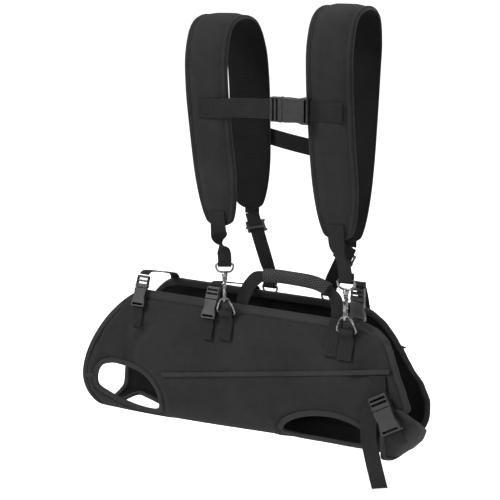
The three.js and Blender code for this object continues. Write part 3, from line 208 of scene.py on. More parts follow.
        (187, -69.1, -486.5, 0.99, 0.01, 0.16, 25), (188, -70.1, -492.8, 0.99, 0.01, 0.16, 25),
        (189.2, -71.7, -498.9, 0.98, 0.04, 0.21, 25), (190.5, -73.8, -504.8, 0.98, 0.03, 0.18, 25),
        (191, -75.6, -510.9, 1, -0.04, -0.09, 25), (189.2, -76.4, -517, 0.93, -0.04, -0.37, 25),
        (187, -76.8, -523, 0.95, -0.02, -0.33, 25), (184.9, -77, -529.1, 0.94, -0.01, -0.33, 25),
        (181.2, -77, -541.3, 0.98, -0, -0.22, 25), (179.3, -77.1, -560.5, 1, 0, -0.01, 25),
        (180.4, -77.1, -579.7, 0.99, 0, 0.14, 25), (184.6, -77.1, -598.5, 0.97, -0, 0.25, 25),
        (191.1, -76.7, -623.3, 0.96, -0, 0.27, 25), (198, -76, -648, 0.96, -0, 0.27, 25),],
    "chest_tab": [
        (220.7, -87.5, -557.4, 0.86, 0, 0.5, 25), (224.2, -87.9, -563.4, 0.86, -0, 0.5, 25),
        (227.6, -86, -569.3, 0.86, -0, 0.5, 25), (230.7, -82.5, -574.6, 0.86, -0, 0.5, 25),],
}

# Hard parts: swivel points and turns of the hooks, base bars of the rings.
HOOKS = {
    "near_rear": dict(eye=(-62.5, -61.75, -359), eye_turn=30, turn=118, ring=(-62.5, -57.75, -434.05)),
    "far_rear": dict(eye=(-67, 82.94, -424), eye_turn=0, turn=118, ring=(-67, 78.94, -499.05)),
    "near_front": dict(eye=(134, -62.2, -359), eye_turn=4, turn=105, ring=(134, -58.2, -434.05)),
    "far_front": dict(eye=(36, 83.2, -424), eye_turn=0, turn=105, ring=(36, 79.2, -499.05)),
}
SWIVEL_DROP, GATE_TOP = 20.05, -10.0


# ---------- camera ----------
cam_data = bpy.data.cameras.new("camera")
cam_data.lens = 93.6
cam_data.sensor_width = 36.0
camera = bpy.data.objects.new("camera", cam_data)
bpy.context.scene.collection.objects.link(camera)
camera.location = (0.8898, -1.6373, 0.0865)
aim = Vector((-0.0555, 0.0, -0.350)) - camera.location
camera.rotation_euler = aim.to_track_quat("-Z", "Y").to_euler()
bpy.context.scene.camera = camera


# ---------- curves and surfaces ----------
def smooth(x, lo, hi):
    """Smoothstep: 0 below lo, 1 above hi, 3t^2 - 2t^3 between."""
    t = np.clip((np.asarray(x, float) - lo) / (hi - lo), 0, 1)
    return t * t * (3 - 2 * t)


def mix(a, b, t):
    """Straight blend from a to b."""
    return a + (b - a) * t


def unit(v):
    """Vectors scaled to length one along the last axis."""
    return v / np.maximum(np.linalg.norm(v, axis=-1, keepdims=True), 1e-12)


def spline(points, closed=False, per=40):
    """Centripetal Catmull-Rom curve: cubic through each pair of points, with knots spaced by the
    square root of the chord, sampled per times a span. Returns a dense line of points."""
    p = np.asarray(points, float)
    if closed:
        q = np.vstack([p[-1:], p, p[:2]])
    else:
        q = np.vstack([2 * p[:1] - p[1:2], p, 2 * p[-1:] - p[-2:-1]])
    a, b, c, d = q[:-3], q[1:-2], q[2:-1], q[3:]
    d0, d1, d2 = (np.maximum(np.sqrt(np.linalg.norm(n - m, axis=1)), 1e-4)[:, None]
                  for m, n in ((a, b), (b, c), (c, d)))
    m1 = ((b - a) / d0 - (c - a) / (d0 + d1) + (c - b) / d1) * d1
    m2 = ((c - b) / d1 - (d - b) / (d1 + d2) + (d - c) / d2) * d1
    t = (np.arange(per) / per)[None, :, None]
    b, c, m1, m2 = (v[:, None, :] for v in (b, c, m1, m2))
    line = b + m1 * t + (3 * (c - b) - 2 * m1 - m2) * t ** 2 + (2 * (b - c) + m1 + m2) * t ** 3
    line = line.reshape(-1, p.shape[1])
    return np.vstack([line, q[-2:-1] if not closed else line[:1]])


def lengths(line):
    """Distance along a line of points from its start."""
    return np.concatenate([[0], np.cumsum(np.linalg.norm(np.diff(line, axis=0), axis=1))])


def along(line, t, values=None):
    """Point, or any value given at its points, at share t of a line's length."""
    s = lengths(line)
    values = line if values is None else np.asarray(values, float)
    values = values.reshape(len(line), -1)
    return np.stack([np.interp(np.asarray(t) * s[-1], s, col) for col in values.T], axis=-1)


def tangents(line):
    """Unit directions along a line by central differences."""
    return unit(np.gradient(line, axis=0))


# ---------- meshes ----------
def put_mesh(name, verts, faces, face_uv, material, body, sharp=None):
    """Mesh object from points in millimetres and a list of equal-sided face arrays with their UVs
    (one row of corner UVs, in metres, for each face). Rides body, takes material as its finish."""
    mesh = bpy.data.meshes.new(name)
    verts = np.asarray(verts, float) * MM
    groups = [np.asarray(f) for f in faces if len(f)]
    uvs = [np.asarray(w, float) * MM for w, f in zip(face_uv, faces) if len(f)]
    loops = np.concatenate([g.ravel() for g in groups]).astype(np.int32)
    sizes = np.concatenate([np.full(len(g), g.shape[1]) for g in groups])
    mesh.vertices.add(len(verts))
    mesh.vertices.foreach_set("co", verts.astype(np.float32).ravel())
    mesh.loops.add(len(loops))
    mesh.loops.foreach_set("vertex_index", loops)
    mesh.polygons.add(len(sizes))
    starts = np.concatenate([[0], np.cumsum(sizes)[:-1]]).astype(np.int32)
    mesh.polygons.foreach_set("loop_start", starts)
    mesh.polygons.foreach_set("use_smooth", np.ones(len(sizes), bool))
    layer = mesh.uv_layers.new(name="cloth")
    layer.data.foreach_set("uv", np.concatenate([w.reshape(-1, 2) for w in uvs])
                           .astype(np.float32).ravel())
    mesh.update(calc_edges=True)
    mesh.validate()
    mesh.materials.append(material)
    obj = bpy.data.objects.new(name, mesh)
    bpy.context.scene.collection.objects.link(obj)
    if sharp:
        mesh.set_sharp_from_angle(angle=math.radians(sharp))
    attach(obj, body)
    return obj


def grid_faces(nu, nv, wrap=False):
    """Quads over an (nu+1) by (nv+1) grid of points; wrap joins the last column to the first."""
    i, j = np.meshgrid(np.arange(nu), np.arange(nv), indexing="ij")
    cols = nv if wrap else nv + 1
    k = (j + 1) % nv if wrap else j + 1
    quads = np.stack([i * cols + j, (i + 1) * cols + j, (i + 1) * cols + k, i * cols + k], -1)
    return quads.reshape(-1, 4)


def grid_uv(u, v):
    """Corner UVs of a grid's quads from its (nu+1) by (nv+1) arrays u and v."""
    w = np.stack([u, v], -1)
    return np.stack([w[:-1, :-1], w[1:, :-1], w[1:, 1:], w[:-1, 1:]], 2).reshape(-1, 4, 2)


def outward(verts, faces):
    """Whether faces point outwards: true unless the closed body's signed volume is negative."""
    total = 0.0
    for f in faces:
        if len(f):
            a = verts[f[:, 0]]
            for k in range(1, f.shape[1] - 1):
                total += np.einsum("ij,ij->", a, np.cross(verts[f[:, k]], verts[f[:, k + 1]]))
    return total >= 0


def tube(name, line, across, section, material, body, closed=False, sharp=40):
    """Body swept along a line: ring k is line[k] + a * across[k] + h * normal[k], for the pairs
    (a, h) of section[k]. The ends are closed with one flat face each."""
    t = tangents(np.vstack([line[-2:-1], line, line[1:2]]) if closed else line)
    t = t[1:-1] if closed else t
    w = unit(across - t * np.einsum("ij,ij->i", across, t)[:, None])
    n = np.cross(t, w)
    n_ring = section.shape[1]
    pts = line[:, None, :] + section[:, :, :1] * w[:, None, :] + section[:, :, 1:] * n[:, None, :]
    rows = len(line) - 1 if closed else len(line)
    verts = pts[:rows].reshape(-1, 3)
    around = np.concatenate([section, section[:, :1]], axis=1)
    u = np.concatenate([np.zeros((len(line), 1)),
                        np.cumsum(np.linalg.norm(np.diff(around, axis=1), axis=2), axis=1)], 1)
    u = u - u[:, -1:] / 2
    v = np.repeat(lengths(line)[:, None], n_ring + 1, axis=1)
    faces = grid_faces(len(line) - 1, n_ring, wrap=True)
    if closed:
        faces = faces % (rows * n_ring)
    sets, uvs = [faces], [grid_uv(u, v)]
    if not closed:
        first = np.arange(n_ring)[None, :]
        last = (rows - 1) * n_ring + np.arange(n_ring)[None, ::-1]
        sets.append(np.vstack([first, last]))
        uvs.append(np.stack([section[0], section[-1][::-1]]))
    if not outward(verts, sets):
        sets = [f[:, ::-1] for f in sets]
        uvs = [w[:, ::-1] for w in uvs]
    return put_mesh(name, verts, sets, uvs, material, body, sharp)


def round_bar(width, height, corner, n=24):
    """Ring of n points round a rectangle whose corners are quarter circles of radius corner."""
    steps = n // 4
    a = np.linspace(0, np.pi / 2, steps)
    ring = []
    for k, (sx, sy) in enumerate(((1, 1), (-1, 1), (-1, -1), (1, -1))):
        turn = a if k % 2 == 0 else a[::-1]
        ring.append(np.stack([sx * (width / 2 - corner + corner * np.cos(turn)),
                              sy * (height / 2 - corner + corner * np.sin(turn))], -1))
    return np.concatenate(ring)


def strap_path(name):
    """Even points, directions across and widths along the strap called name."""
    rows = np.asarray(STRAPS[name], float)
    line = spline(rows[:, :3], per=30)
    idx = np.linspace(0, len(rows) - 1, len(line))
    k = np.arange(len(rows))
    extra = np.stack([np.interp(idx, k, rows[:, c]) for c in (3, 4, 5, 6)], -1)
    n = max(int(lengths(line)[-1] / STRAP_STEP), 6)
    t = np.linspace(0, 1, n + 1)
    return along(line, t), unit(along(line, t, extra[:, :3])), along(line, t, extra[:, 3])[:, 0]


def strap(name, body, start, end, lead):
    """Flat woven strap along the stations of its name, between shares start and end: a rounded
    bar of section width by thickness, with thin selvedges. lead lengthens it straight on at its
    first end. Replaces the CAD strap and returns its middle line, directions across and widths."""
    line, across, width = strap_path(name)
    if lead:
        line = np.vstack([line[0] + unit(line[0] - line[2]) * lead, line])
        across, width = np.vstack([across[:1], across]), np.append(width[0], width)
    t = lengths(line) / lengths(line)[-1]
    keep = np.linspace(start, end, max(int((end - start) * len(line)), 5))
    a_line = along(line, keep)
    a_across = unit(np.stack([np.interp(keep, t, across[:, c]) for c in range(3)], -1))
    a_width = np.interp(keep, t, width)
    base = round_bar(WEB, STRAP_THICK, STRAP_THICK * 0.42, 24)
    section = np.repeat(base[None], len(keep), axis=0)
    flat = np.sign(section[:, :, 0]) * (np.abs(section[:, :, 0]) - WEB / 2)
    section[:, :, 0] = flat + np.sign(section[:, :, 0]) * (a_width[:, None] / 2)
    obj = tube(f"{name}_woven", a_line, a_across, section, WEBBING, body)
    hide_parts(name)
    return a_line, a_across, a_width


def stitches(name, line, normals, body, pitch, radius, lift=0.05):
    """Run of sewn stitches along a line on cloth: every pitch one short thread, a six-sided
    spindle that rises from the cloth, runs on top and dips back in."""
    total = lengths(line)[-1]
    count = max(int(total / pitch), 1)
    mid = (np.arange(count) + 0.5) / count
    half = 0.36 * total / count
    centre = along(line, mid)
    t = unit(along(line, np.clip(mid + 0.002, 0, 1)) - along(line, np.clip(mid - 0.002, 0, 1)))
    n = unit(along(line, mid, normals))
    b = np.cross(t, n)
    stations = np.array([-1.0, -0.55, 0.55, 1.0])
    rise = np.array([-0.6, 0.25, 0.25, -0.6]) * radius + lift
    thick = np.array([0.35, 1.0, 1.0, 0.35]) * radius
    ang = np.arange(6) / 6 * 2 * np.pi
    ring = (centre[:, None, None] + (stations * half)[None, :, None, None] * t[:, None, None]
            + (rise[None, :, None] + thick[None, :, None] * np.sin(ang))[..., None] * n[:, None, None]
            + (thick[None, :, None] * np.cos(ang))[..., None] * b[:, None, None])
    verts = ring.reshape(-1, 3)
    base = grid_faces(3, 6, wrap=True)
    faces = (base[None] + (np.arange(count) * 24)[:, None, None]).reshape(-1, 4)
    ends = np.stack([np.arange(6), 18 + np.arange(6)[::-1]])
    caps = (ends[None] + (np.arange(count) * 24)[:, None, None]).reshape(-1, 6)
    uv = np.zeros((len(faces), 4, 2))
    cap_uv = np.zeros((len(caps), 6, 2))
    sets = [faces, caps]
    if not outward(verts, [s[:len(s) // count] for s in sets]):
        sets = [s[:, ::-1] for s in sets]
    return put_mesh(name, verts, sets, [uv, cap_uv], THREAD, body)


def join(name, pieces):
    """One object from several that ride the same body."""
    with bpy.context.temp_override(active_object=pieces[0], selected_editable_objects=pieces,
                                   selected_objects=pieces, object=pieces[0]):
        bpy.ops.object.join()
    pieces[0].name = name
    return pieces[0]


# ---------- materials ----------
class Finish:
    """A material and short calls for its nodes. Numbers that don't vary stay on the shader."""

    def __init__(self, name, color, rough, metal=0.0, specular=0.5, sheen=0.0, sheen_rough=0.4):
        self.material = bpy.data.materials.new(name)
        self.material.use_nodes = True
        self.tree = self.material.node_tree
        self.shader = self.tree.nodes["Principled BSDF"]
        self.shader.inputs["Base Color"].default_value = (*color, 1)
        self.shader.inputs["Roughness"].default_value = rough
        self.shader.inputs["Metallic"].default_value = metal
        self.shader.inputs["Specular IOR Level"].default_value = specular
        self.shader.inputs["Sheen Weight"].default_value = sheen
        self.shader.inputs["Sheen Roughness"].default_value = sheen_rough
        self.material.diffuse_color = (*color, 1)

    def node(self, kind, values=(), **settings):
        """A node with the settings given; values maps its input names or numbers to values or
        to sockets."""
        n = self.tree.nodes.new(kind)
        for key, value in settings.items():
            setattr(n, key, value)
        for key, value in dict(values).items():
            if isinstance(value, bpy.types.NodeSocket):
                self.tree.links.new(value, n.inputs[key])
            else:
                n.inputs[key].default_value = value
        return n

    def math(self, operation, a, b=None, c=None):
        """One sum on sockets or numbers."""
        values = {i: v for i, v in enumerate((a, b, c)) if v is not None}
        return self.node("ShaderNodeMath", values, operation=operation).outputs[0]

    def axes(self, source="UV", scale=1000.0):
        """X, Y and Z of the piece's own UV map or of its place, in millimetres."""
        coords = self.node("ShaderNodeTexCoord").outputs[source]
        place = self.node("ShaderNodeMapping", {"Vector": coords, "Scale": (scale,) * 3})
        split = self.node("ShaderNodeSeparateXYZ", {0: place.outputs[0]})
        return place.outputs[0], split.outputs[0], split.outputs[1], split.outputs[2]

    def wave(self, x, period):
        """0 to 1 sine along x with that period."""
        turn = self.math("MULTIPLY", x, 2 * math.pi / period)
        return self.math("MULTIPLY_ADD", self.math("SINE", turn), 0.5, 0.5)

    def noise(self, vector, size, detail=3.0, rough=0.55):
        """Soft noise about 0.5, with features about size millimetres across."""
        return self.node("ShaderNodeTexNoise", {"Vector": vector, "Scale": 1 / size,
                                                "Detail": detail, "Roughness": rough}).outputs[0]

    def span(self, value, lo, hi, to_lo, to_hi):
        """value from lo..hi carried to to_lo..to_hi, held at the ends."""
        return self.node("ShaderNodeMapRange", {0: value, 1: lo, 2: hi, 3: to_lo, 4: to_hi},
                         clamp=True).outputs[0]

    def tint(self, factor, dark, light):
        """Colour between dark and light by factor, onto the shader."""
        n = self.node("ShaderNodeMix", data_type="RGBA")
        self.tree.links.new(factor, n.inputs[0])
        n.inputs[6].default_value = (*dark, 1)
        n.inputs[7].default_value = (*light, 1)
        self.tree.links.new(n.outputs[2], self.shader.inputs["Base Color"])

    def roughen(self, value):
        """Roughness from a socket."""
        self.tree.links.new(value, self.shader.inputs["Roughness"])

    def bump(self, *layers):
        """Bump layers of (height socket, strength, depth in metres), each on top of the last."""
        last = None
        for height, strength, depth in layers:
            values = {"Height": height, "Strength": strength, "Distance": depth}
            if last is not None:
                values["Normal"] = last
            last = self.node("ShaderNodeBump", values).outputs[0]
        self.tree.links.new(last, self.shader.inputs["Normal"])


def plain_weave(f, u, v, pitch):
    """Over-and-under weave: one thread's hump where two sines agree in sign, the other's where
    they don't, so that warp and weft take turns."""
    a = f.math("SINE", f.math("MULTIPLY", u, math.pi / pitch))
    b = f.math("SINE", f.math("MULTIPLY", v, math.pi / pitch))
    over = f.math("GREATER_THAN", f.math("MULTIPLY", a, b), 0.0)
    warp = f.math("ABSOLUTE", a)
    weft = f.math("ABSOLUTE", b)
    hump = f.math("ADD", f.math("MULTIPLY", warp, over),
                  f.math("MULTIPLY", weft, f.math("SUBTRACT", 1.0, over)))
    return hump, over


def cloth_finish(name, dark, light, pitch, depth, sheen=0.012, slub=0.35):
    """Woven nylon: over-and-under threads, slubs and lint, slow fading of the dye, soft sheen."""
    f = Finish(name, light, 0.82, specular=0.06, sheen=sheen, sheen_rough=0.55)
    _, u, v, _ = f.axes("UV")
    place, *_ = f.axes("Object")
    hump, over = plain_weave(f, u, v, pitch)
    lint = f.noise(place, 1.1, 4.0, 0.7)
    fade = f.noise(place, 70.0, 3.0, 0.6)
    fine = f.noise(place, 9.0, 4.0, 0.6)
    threads = f.math("ADD", f.math("MULTIPLY", hump, 0.35), f.math("MULTIPLY", over, 0.12))
    tone = f.math("ADD", threads, f.math("MULTIPLY", lint, slub))
    tone = f.math("ADD", tone, f.math("MULTIPLY", fade, 0.55))
    tone = f.math("ADD", tone, f.math("MULTIPLY", fine, 0.30))
    f.tint(f.span(tone, 0.35, 1.25, 0.0, 1.0), dark, light)
    f.roughen(f.span(f.math("ADD", hump, fine), 0.3, 1.6, 0.9, 0.72))
    f.bump((hump, 0.55, depth), (fine, 0.25, 0.0006), (fade, 0.3, 0.003))
    return f.material


def webbing_finish():
    """Flat nylon webbing: ribs across it, split into columns of slanted picks, and smooth edges."""
    f = Finish("woven_webbing", (0.015, 0.015, 0.016), 0.7, specular=0.10, sheen=0.01)
    _, u, v, _ = f.axes("UV")
    place, *_ = f.axes("Object")
    column = f.math("PINGPONG", u, 1.6)
    slant = f.math("MULTIPLY_ADD", column, 0.9, v)
    pick = f.wave(slant, 1.15)
    groove = f.math("ABSOLUTE", f.math("SINE", f.math("MULTIPLY", u, math.pi / 3.2)))
    groove = f.math("POWER", groove, 0.35)
    height = f.math("MULTIPLY", f.math("MULTIPLY_ADD", pick, 0.7, 0.3), groove)
    worn = f.noise(place, 26.0, 4.0, 0.65)
    lint = f.noise(place, 0.9, 3.0, 0.7)
    tone = f.math("ADD", f.math("MULTIPLY", height, 0.5),
                  f.math("ADD", f.math("MULTIPLY", worn, 0.55), f.math("MULTIPLY", lint, 0.3)))
    f.tint(f.span(tone, 0.35, 1.15, 0.0, 1.0), (0.0015, 0.0015, 0.0016), (0.0145, 0.0145, 0.0150))
    f.roughen(f.span(height, 0.0, 1.0, 0.85, 0.58))
    f.bump((height, 0.75, 0.00035), (lint, 0.2, 0.0002), (worn, 0.25, 0.0012))
    return f.material


def honeycomb_finish():
    """Honeycomb mesh sleeve: rows of round cells, every other row moved by half a cell."""
    f = Finish("honeycomb_mesh", (0.02, 0.02, 0.021), 0.7, specular=0.10, sheen=0.01)
    _, u, v, _ = f.axes("UV")
    place, *_ = f.axes("Object")
    pitch, row = 4.0, 3.46

    def cells(du, dv):
        """Distance from the middle of the nearest cell of one of the two staggered grids."""
        x = f.math("SUBTRACT", f.math("FLOORED_MODULO", f.math("ADD", u, du), pitch), pitch / 2)
        y = f.math("SUBTRACT", f.math("FLOORED_MODULO", f.math("ADD", v, dv), 2 * row), row)
        return f.math("SQRT", f.math("ADD", f.math("MULTIPLY", x, x), f.math("MULTIPLY", y, y)))

    near = f.math("MINIMUM", cells(0.0, 0.0), cells(pitch / 2, row))
    wall = f.span(near, 0.9, 1.55, 0.0, 1.0)
    lint = f.noise(place, 1.0, 3.0, 0.7)
    worn = f.noise(place, 18.0, 3.0, 0.6)
    tone = f.math("ADD", f.math("MULTIPLY", wall, 0.75),
                  f.math("ADD", f.math("MULTIPLY", lint, 0.2), f.math("MULTIPLY", worn, 0.25)))
    f.tint(f.span(tone, 0.15, 1.05, 0.0, 1.0), (0.0008, 0.0008, 0.0008), (0.030, 0.030, 0.031))
    f.roughen(f.span(wall, 0.0, 1.0, 0.95, 0.62))
    f.bump((wall, 0.9, 0.0009), (lint, 0.25, 0.0002))
    return f.material


def lining_finish():
    """Spacer-mesh lining: small oval holes on a staggered grid in a matt knit."""
    f = Finish("spacer_mesh", (0.008, 0.008, 0.0085), 0.9, specular=0.05)
    _, u, v, _ = f.axes("UV")
    place, *_ = f.axes("Object")
    a = f.math("SINE", f.math("MULTIPLY", u, math.pi / 1.4))
    b = f.math("SINE", f.math("MULTIPLY", v, math.pi / 2.2))
    hole = f.math("ABSOLUTE", f.math("MULTIPLY", a, b))
    wall = f.span(hole, 0.35, 0.8, 1.0, 0.0)
    fade = f.noise(place, 40.0, 3.0, 0.6)
    tone = f.math("ADD", f.math("MULTIPLY", wall, 0.7), f.math("MULTIPLY", fade, 0.6))
    f.tint(f.span(tone, 0.3, 1.1, 0.0, 1.0), (0.001, 0.001, 0.001), (0.008, 0.008, 0.0083))
    f.roughen(f.span(wall, 0.0, 1.0, 0.98, 0.82))
    f.bump((wall, 0.6, 0.0005), (fade, 0.3, 0.002))
    return f.material


def plastic_finish():
    """Moulded buckle plastic: fine spark-eroded grain, slightly polished where it is handled."""
    f = Finish("moulded_plastic", (0.008, 0.008, 0.0085), 0.42, specular=0.35)
    place, *_ = f.axes("Object")
    grain = f.noise(place, 0.35, 2.0, 0.5)
    rub = f.noise(place, 6.0, 4.0, 0.6)
    flow = f.noise(place, 22.0, 2.0, 0.5)
    f.tint(f.span(f.math("ADD", rub, flow), 0.7, 1.3, 0.0, 1.0), (0.004, 0.004, 0.0042),
           (0.011, 0.011, 0.0115))
    f.roughen(f.span(f.math("MULTIPLY_ADD", grain, 0.4, rub), 0.45, 0.95, 0.34, 0.55))
    f.bump((grain, 0.35, 0.00012), (rub, 0.15, 0.0004))
    return f.material


def steel_finish():
    """Dark plated steel: bright where it is rubbed, fine scratches, cloudy plating."""
    f = Finish("dark_steel", (0.30, 0.30, 0.32), 0.24, metal=1.0, specular=0.5)
    place, *_ = f.axes("Object")
    cloud = f.noise(place, 5.0, 4.0, 0.6)
    stretched = f.node("ShaderNodeMapping", {"Vector": place, "Scale": (2.4, 2.4, 0.22)}).outputs[0]
    scratch = f.noise(stretched, 0.6, 5.0, 0.75)
    f.tint(f.span(cloud, 0.35, 0.68, 0.0, 1.0), (0.05, 0.05, 0.053), (0.24, 0.24, 0.25))
    f.roughen(f.span(f.math("MULTIPLY_ADD", scratch, 0.5, cloud), 0.5, 1.0, 0.16, 0.36))
    f.bump((scratch, 0.25, 0.00008), (cloud, 0.12, 0.0003))
    return f.material


def thread_finish():
    """Bonded sewing thread: twisted plies, near the tone of the cloth."""
    f = Finish("sewing_thread", (0.004, 0.004, 0.0042), 0.6, specular=0.12)
    place, x, y, z = f.axes("Object")
    ply = f.wave(f.math("ADD", f.math("ADD", x, y), z), 0.45)
    dust = f.noise(place, 14.0, 3.0, 0.6)
    f.tint(f.span(f.math("MULTIPLY_ADD", ply, 0.5, dust), 0.3, 1.2, 0.0, 1.0),
           (0.006, 0.006, 0.0062), (0.030, 0.030, 0.031))
    f.roughen(f.span(ply, 0.0, 1.0, 0.75, 0.5))
    f.bump((ply, 0.4, 0.0001))
    return f.material


CLOTH = cloth_finish("padded_nylon", (0.003, 0.003, 0.0032), (0.018, 0.018, 0.0187), 0.62, 0.00022)
BINDING = cloth_finish("binding_tape", (0.005, 0.005, 0.0052), (0.026, 0.026, 0.027), 0.5, 0.0002)
# Darker copy of the outer cloth, without sheen, for the sling's inner face and cut walls: painted shade
# of the sling's hollow.
INSIDE_PAINTED_SHADE = cloth_finish("inner_cloth_painted_shade", (0.001, 0.001, 0.001), (0.004, 0.004, 0.0041), 0.55, 0.0002,
                      sheen=0.0)
WEBBING = webbing_finish()
HONEYCOMB = honeycomb_finish()
MESH = lining_finish()
PLASTIC = plastic_finish()
STEEL = steel_finish()
THREAD = thread_finish()


# ---------- the sling's surface ----------
HALF_PROFILE = [(0.62, 1), (0.84, 0.8), (0.97, 0.58), (1, 0.38), (0.93, 0.16), (0.7, 0.03), (0.35, 0)]
HEIGHT = RIM_Z - FLOOR_REAR
GIRTH = spline([(-y * HALF_WIDTH, h * HEIGHT) for y, h in HALF_PROFILE] + [(0, 0)]
               + [(y * HALF_WIDTH, h * HEIGHT) for y, h in reversed(HALF_PROFILE)], per=60)
FRONT_NEAR = np.array([(1, 160), (0.965, 180), (0.9, 196), (0.8, 207), (0.7, 216), (0.56, 229),
                       (0.44, 238), (0.34, 222), (0.22, 203), (0.1, 191), (0, 188)], float)
FRONT_FAR = np.array([(1, 112), (0.94, 130), (0.85, 146), (0.72, 160), (0.6, 172), (0.5, 182),
                      (0.38, 200), (0.25, 211), (0.12, 213), (0, 208)], float)


def front_edge(table, h):
    """Chest-end edge at height share h: 0.65 straight and 0.35 smoothstep between the rows."""
    rows = table[::-1]
    k = np.clip(np.searchsorted(rows[:, 0], h, side="right") - 1, 0, len(rows) - 2)
    h0, h1 = rows[k, 0], rows[k + 1, 0]
    t = np.clip((h - h0) / (h1 - h0), 0, 1)
    return mix(rows[k, 1], rows[k + 1, 1], 0.35 * t * t * (3 - 2 * t) + 0.65 * t)


def rear_edge(h, side):
    """Rear edge: superellipse from the rim to the rearmost point, then a square curve to the hem."""
    rearmost = mix(REAR_X, REAR_X_FAR, side)
    hem = mix(REAR_HEM, REAR_HEM_FAR, side)
    full = (mix(REAR_FULL, REAR_FULL_FAR, side) - FLOOR_REAR) / HEIGHT
    rise = np.clip((h - full) / (1 - full), 0, 1)
    upper = RIM_REAR_X + (rearmost - RIM_REAR_X) * (1 - rise ** REAR_ROUND) ** (1 / REAR_ROUND)
    return np.where(h >= full, upper, mix(rearmost, hem, np.clip(1 - h / full, 0, 1) ** 2))


def floor_z(x):
    """Height of the floor's outer face at length x."""
    return mix(FLOOR_REAR, FLOOR_FRONT, smooth(x, -260, 210))


def body(u, s):
    """Outer face: u runs from the rear edge to the chest end along x, s round the girth from the
    near rim to the far rim; the girth's height is stretched to the floor's height at x."""
    u, s = np.broadcast_arrays(np.asarray(u, float), np.asarray(s, float))
    g = along(GIRTH, s.ravel()).reshape(*s.shape, 2)
    h = np.clip(g[..., 1] / HEIGHT, 0, 1)
    side = smooth(g[..., 0], -HALF_WIDTH * 0.7, HALF_WIDTH * 0.7)
    front = mix(front_edge(FRONT_NEAR, h), front_edge(FRONT_FAR, h), side)
    x = mix(rear_edge(h, side), front, u)
    return np.stack([x, g[..., 0], floor_z(x) + h * (RIM_Z - floor_z(x))], -1)


def body_normal(u, s):
    """Outward normal: cross product of the two central differences."""
    e = 0.003
    du = body(np.clip(u + e, 0, 1), s) - body(np.clip(u - e, 0, 1), s)
    ds = body(u, np.clip(s + e, 0, 1)) - body(u, np.clip(s - e, 0, 1))
    return unit(-np.cross(du, ds))


def solve(test, lo, hi, shape):
    """Where test turns from True to False between lo and hi, by halving."""
    lo, hi = np.full(shape, float(lo)), np.full(shape, float(hi))
    for _ in range(26):
        mid = (lo + hi) / 2
        ok = test(mid)
        lo, hi = np.where(ok, mid, lo), np.where(ok, hi, mid)
    return (lo + hi) / 2


def seam_z(x):
    """Height of the side seam."""
    return SEAM_MID + SEAM_SLOPE * x


def seam_share(u, far):
    """Girth share where the side seam runs, at share u of the length."""
    if far:
        return solve(lambda s: body(u, s)[..., 2] < seam_z(body(u, s)[..., 0]), 0.5, 1, np.shape(u))
    return solve(lambda s: body(u, s)[..., 2] > seam_z(body(u, s)[..., 0]), 0, 0.5, np.shape(u))


def u_at(x, s):
    """Share of the length where the outer face reaches length x at girth share s."""
    return solve(lambda u: body(u, s)[..., 0] < x, 0, 1, np.shape(x))


def on_side(x, z, far):
    """Points of the outer face at lengths x and heights z, with normals."""
    x, z = np.broadcast_arrays(np.asarray(x, float), np.asarray(z, float))

    def height(s):
        return body(u_at(x, s), s)[..., 2]
    s = solve(lambda k: height(k) < z, 0.5, 1, x.shape) if far else \
        solve(lambda k: height(k) > z, 0, 0.5, x.shape)
    u = u_at(x, s)
    n = body_normal(u, s)
    return body(u, s), n


# Soft creases in the side panels: from point to point (x, z), how deep and how wide, near or far.
CREASES = [
    ((-236, -536), (-196, -470), 2.6, 9.0, -1), ((-222, -540), (-236, -468), 1.8, 8.0, -1),
    ((-262, -537), (-288, -500), 1.6, 8.0, -1), ((-150, -520), (-120, -470), 1.2, 16.0, -1),
    ((60, -500), (110, -455), 1.4, 18.0, -1), ((150, -500), (186, -462), 1.8, 10.0, -1),
    ((-20, -440), (10, -498), 1.1, 16.0, -1), ((-70, -555), (40, -548), 1.6, 14.0, -1),
    ((-120, -585), (-60, -560), 1.5, 12.0, -1), ((70, -552), (150, -545), 1.3, 9.0, -1),
    ((-230, -540), (-190, -470), 2.4, 10.0, 1), ((-60, -500), (-20, -450), 1.6, 15.0, 1),
    ((60, -540), (120, -470), 2.0, 14.0, 1), ((-130, -570), (-40, -560), 1.8, 13.0, 1),
    ((-180, -500), (-150, -450), 1.5, 12.0, 1),
]


def slack(p):
    """How far the cloth falls in from its smooth form, in millimetres: a slow swell made of three
    sines, and each crease a Gaussian valley across its line that fades at its ends."""
    x, y, z = p[..., 0], p[..., 1], p[..., 2]
    swell = (np.sin(x / 41 + 0.6) * np.cos(z / 33 + y / 60) + np.sin(x / 23 - z / 47 + 1.9) * 0.5
             + np.sin((x + z) / 67 + y / 35) * 0.6)
    depth = 0.8 * (1.1 + swell) * smooth(RIM_Z - 16 - z, 0, 22)
    for (x0, z0), (x1, z1), deep, wide, side in CREASES:
        d = np.array([x1 - x0, z1 - z0])
        span = np.hypot(*d)
        d = d / span
        t = (x - x0) * d[0] + (z - z0) * d[1]
        bow = 0.05 * span * np.sin(np.pi * np.clip(t / span, 0, 1))
        off = (x - x0) * -d[1] + (z - z0) * d[0] - bow
        fade = smooth(t, -0.25 * span, 0.2 * span) * smooth(span * 1.3 - t, 0, 0.5 * span)
        depth = depth + 1.25 * deep * np.exp(-(off / wide) ** 2) * fade * (np.sign(y) == side)
    near_edge = smooth(RIM_Z - z, 13, 24) * smooth(z - floor_z(x), 2, 10)
    return np.maximum(depth, 0) * near_edge


def smooth_outline(points):
    """Closed outline through points."""
    return spline(points, closed=True, per=24)[:-1]


OPENINGS = {
    "near_rear": smooth_outline(REAR_LEG),
    "far_rear": smooth_outline([(x + FAR_REAR_SHIFT, z) for x, z in REAR_LEG]),
    "near_front": smooth_outline(FRONT_LEG),
    "far_front": smooth_outline(FRONT_LEG),
}
FLOOR_OPENING = smooth_outline(FLOOR_GAP)


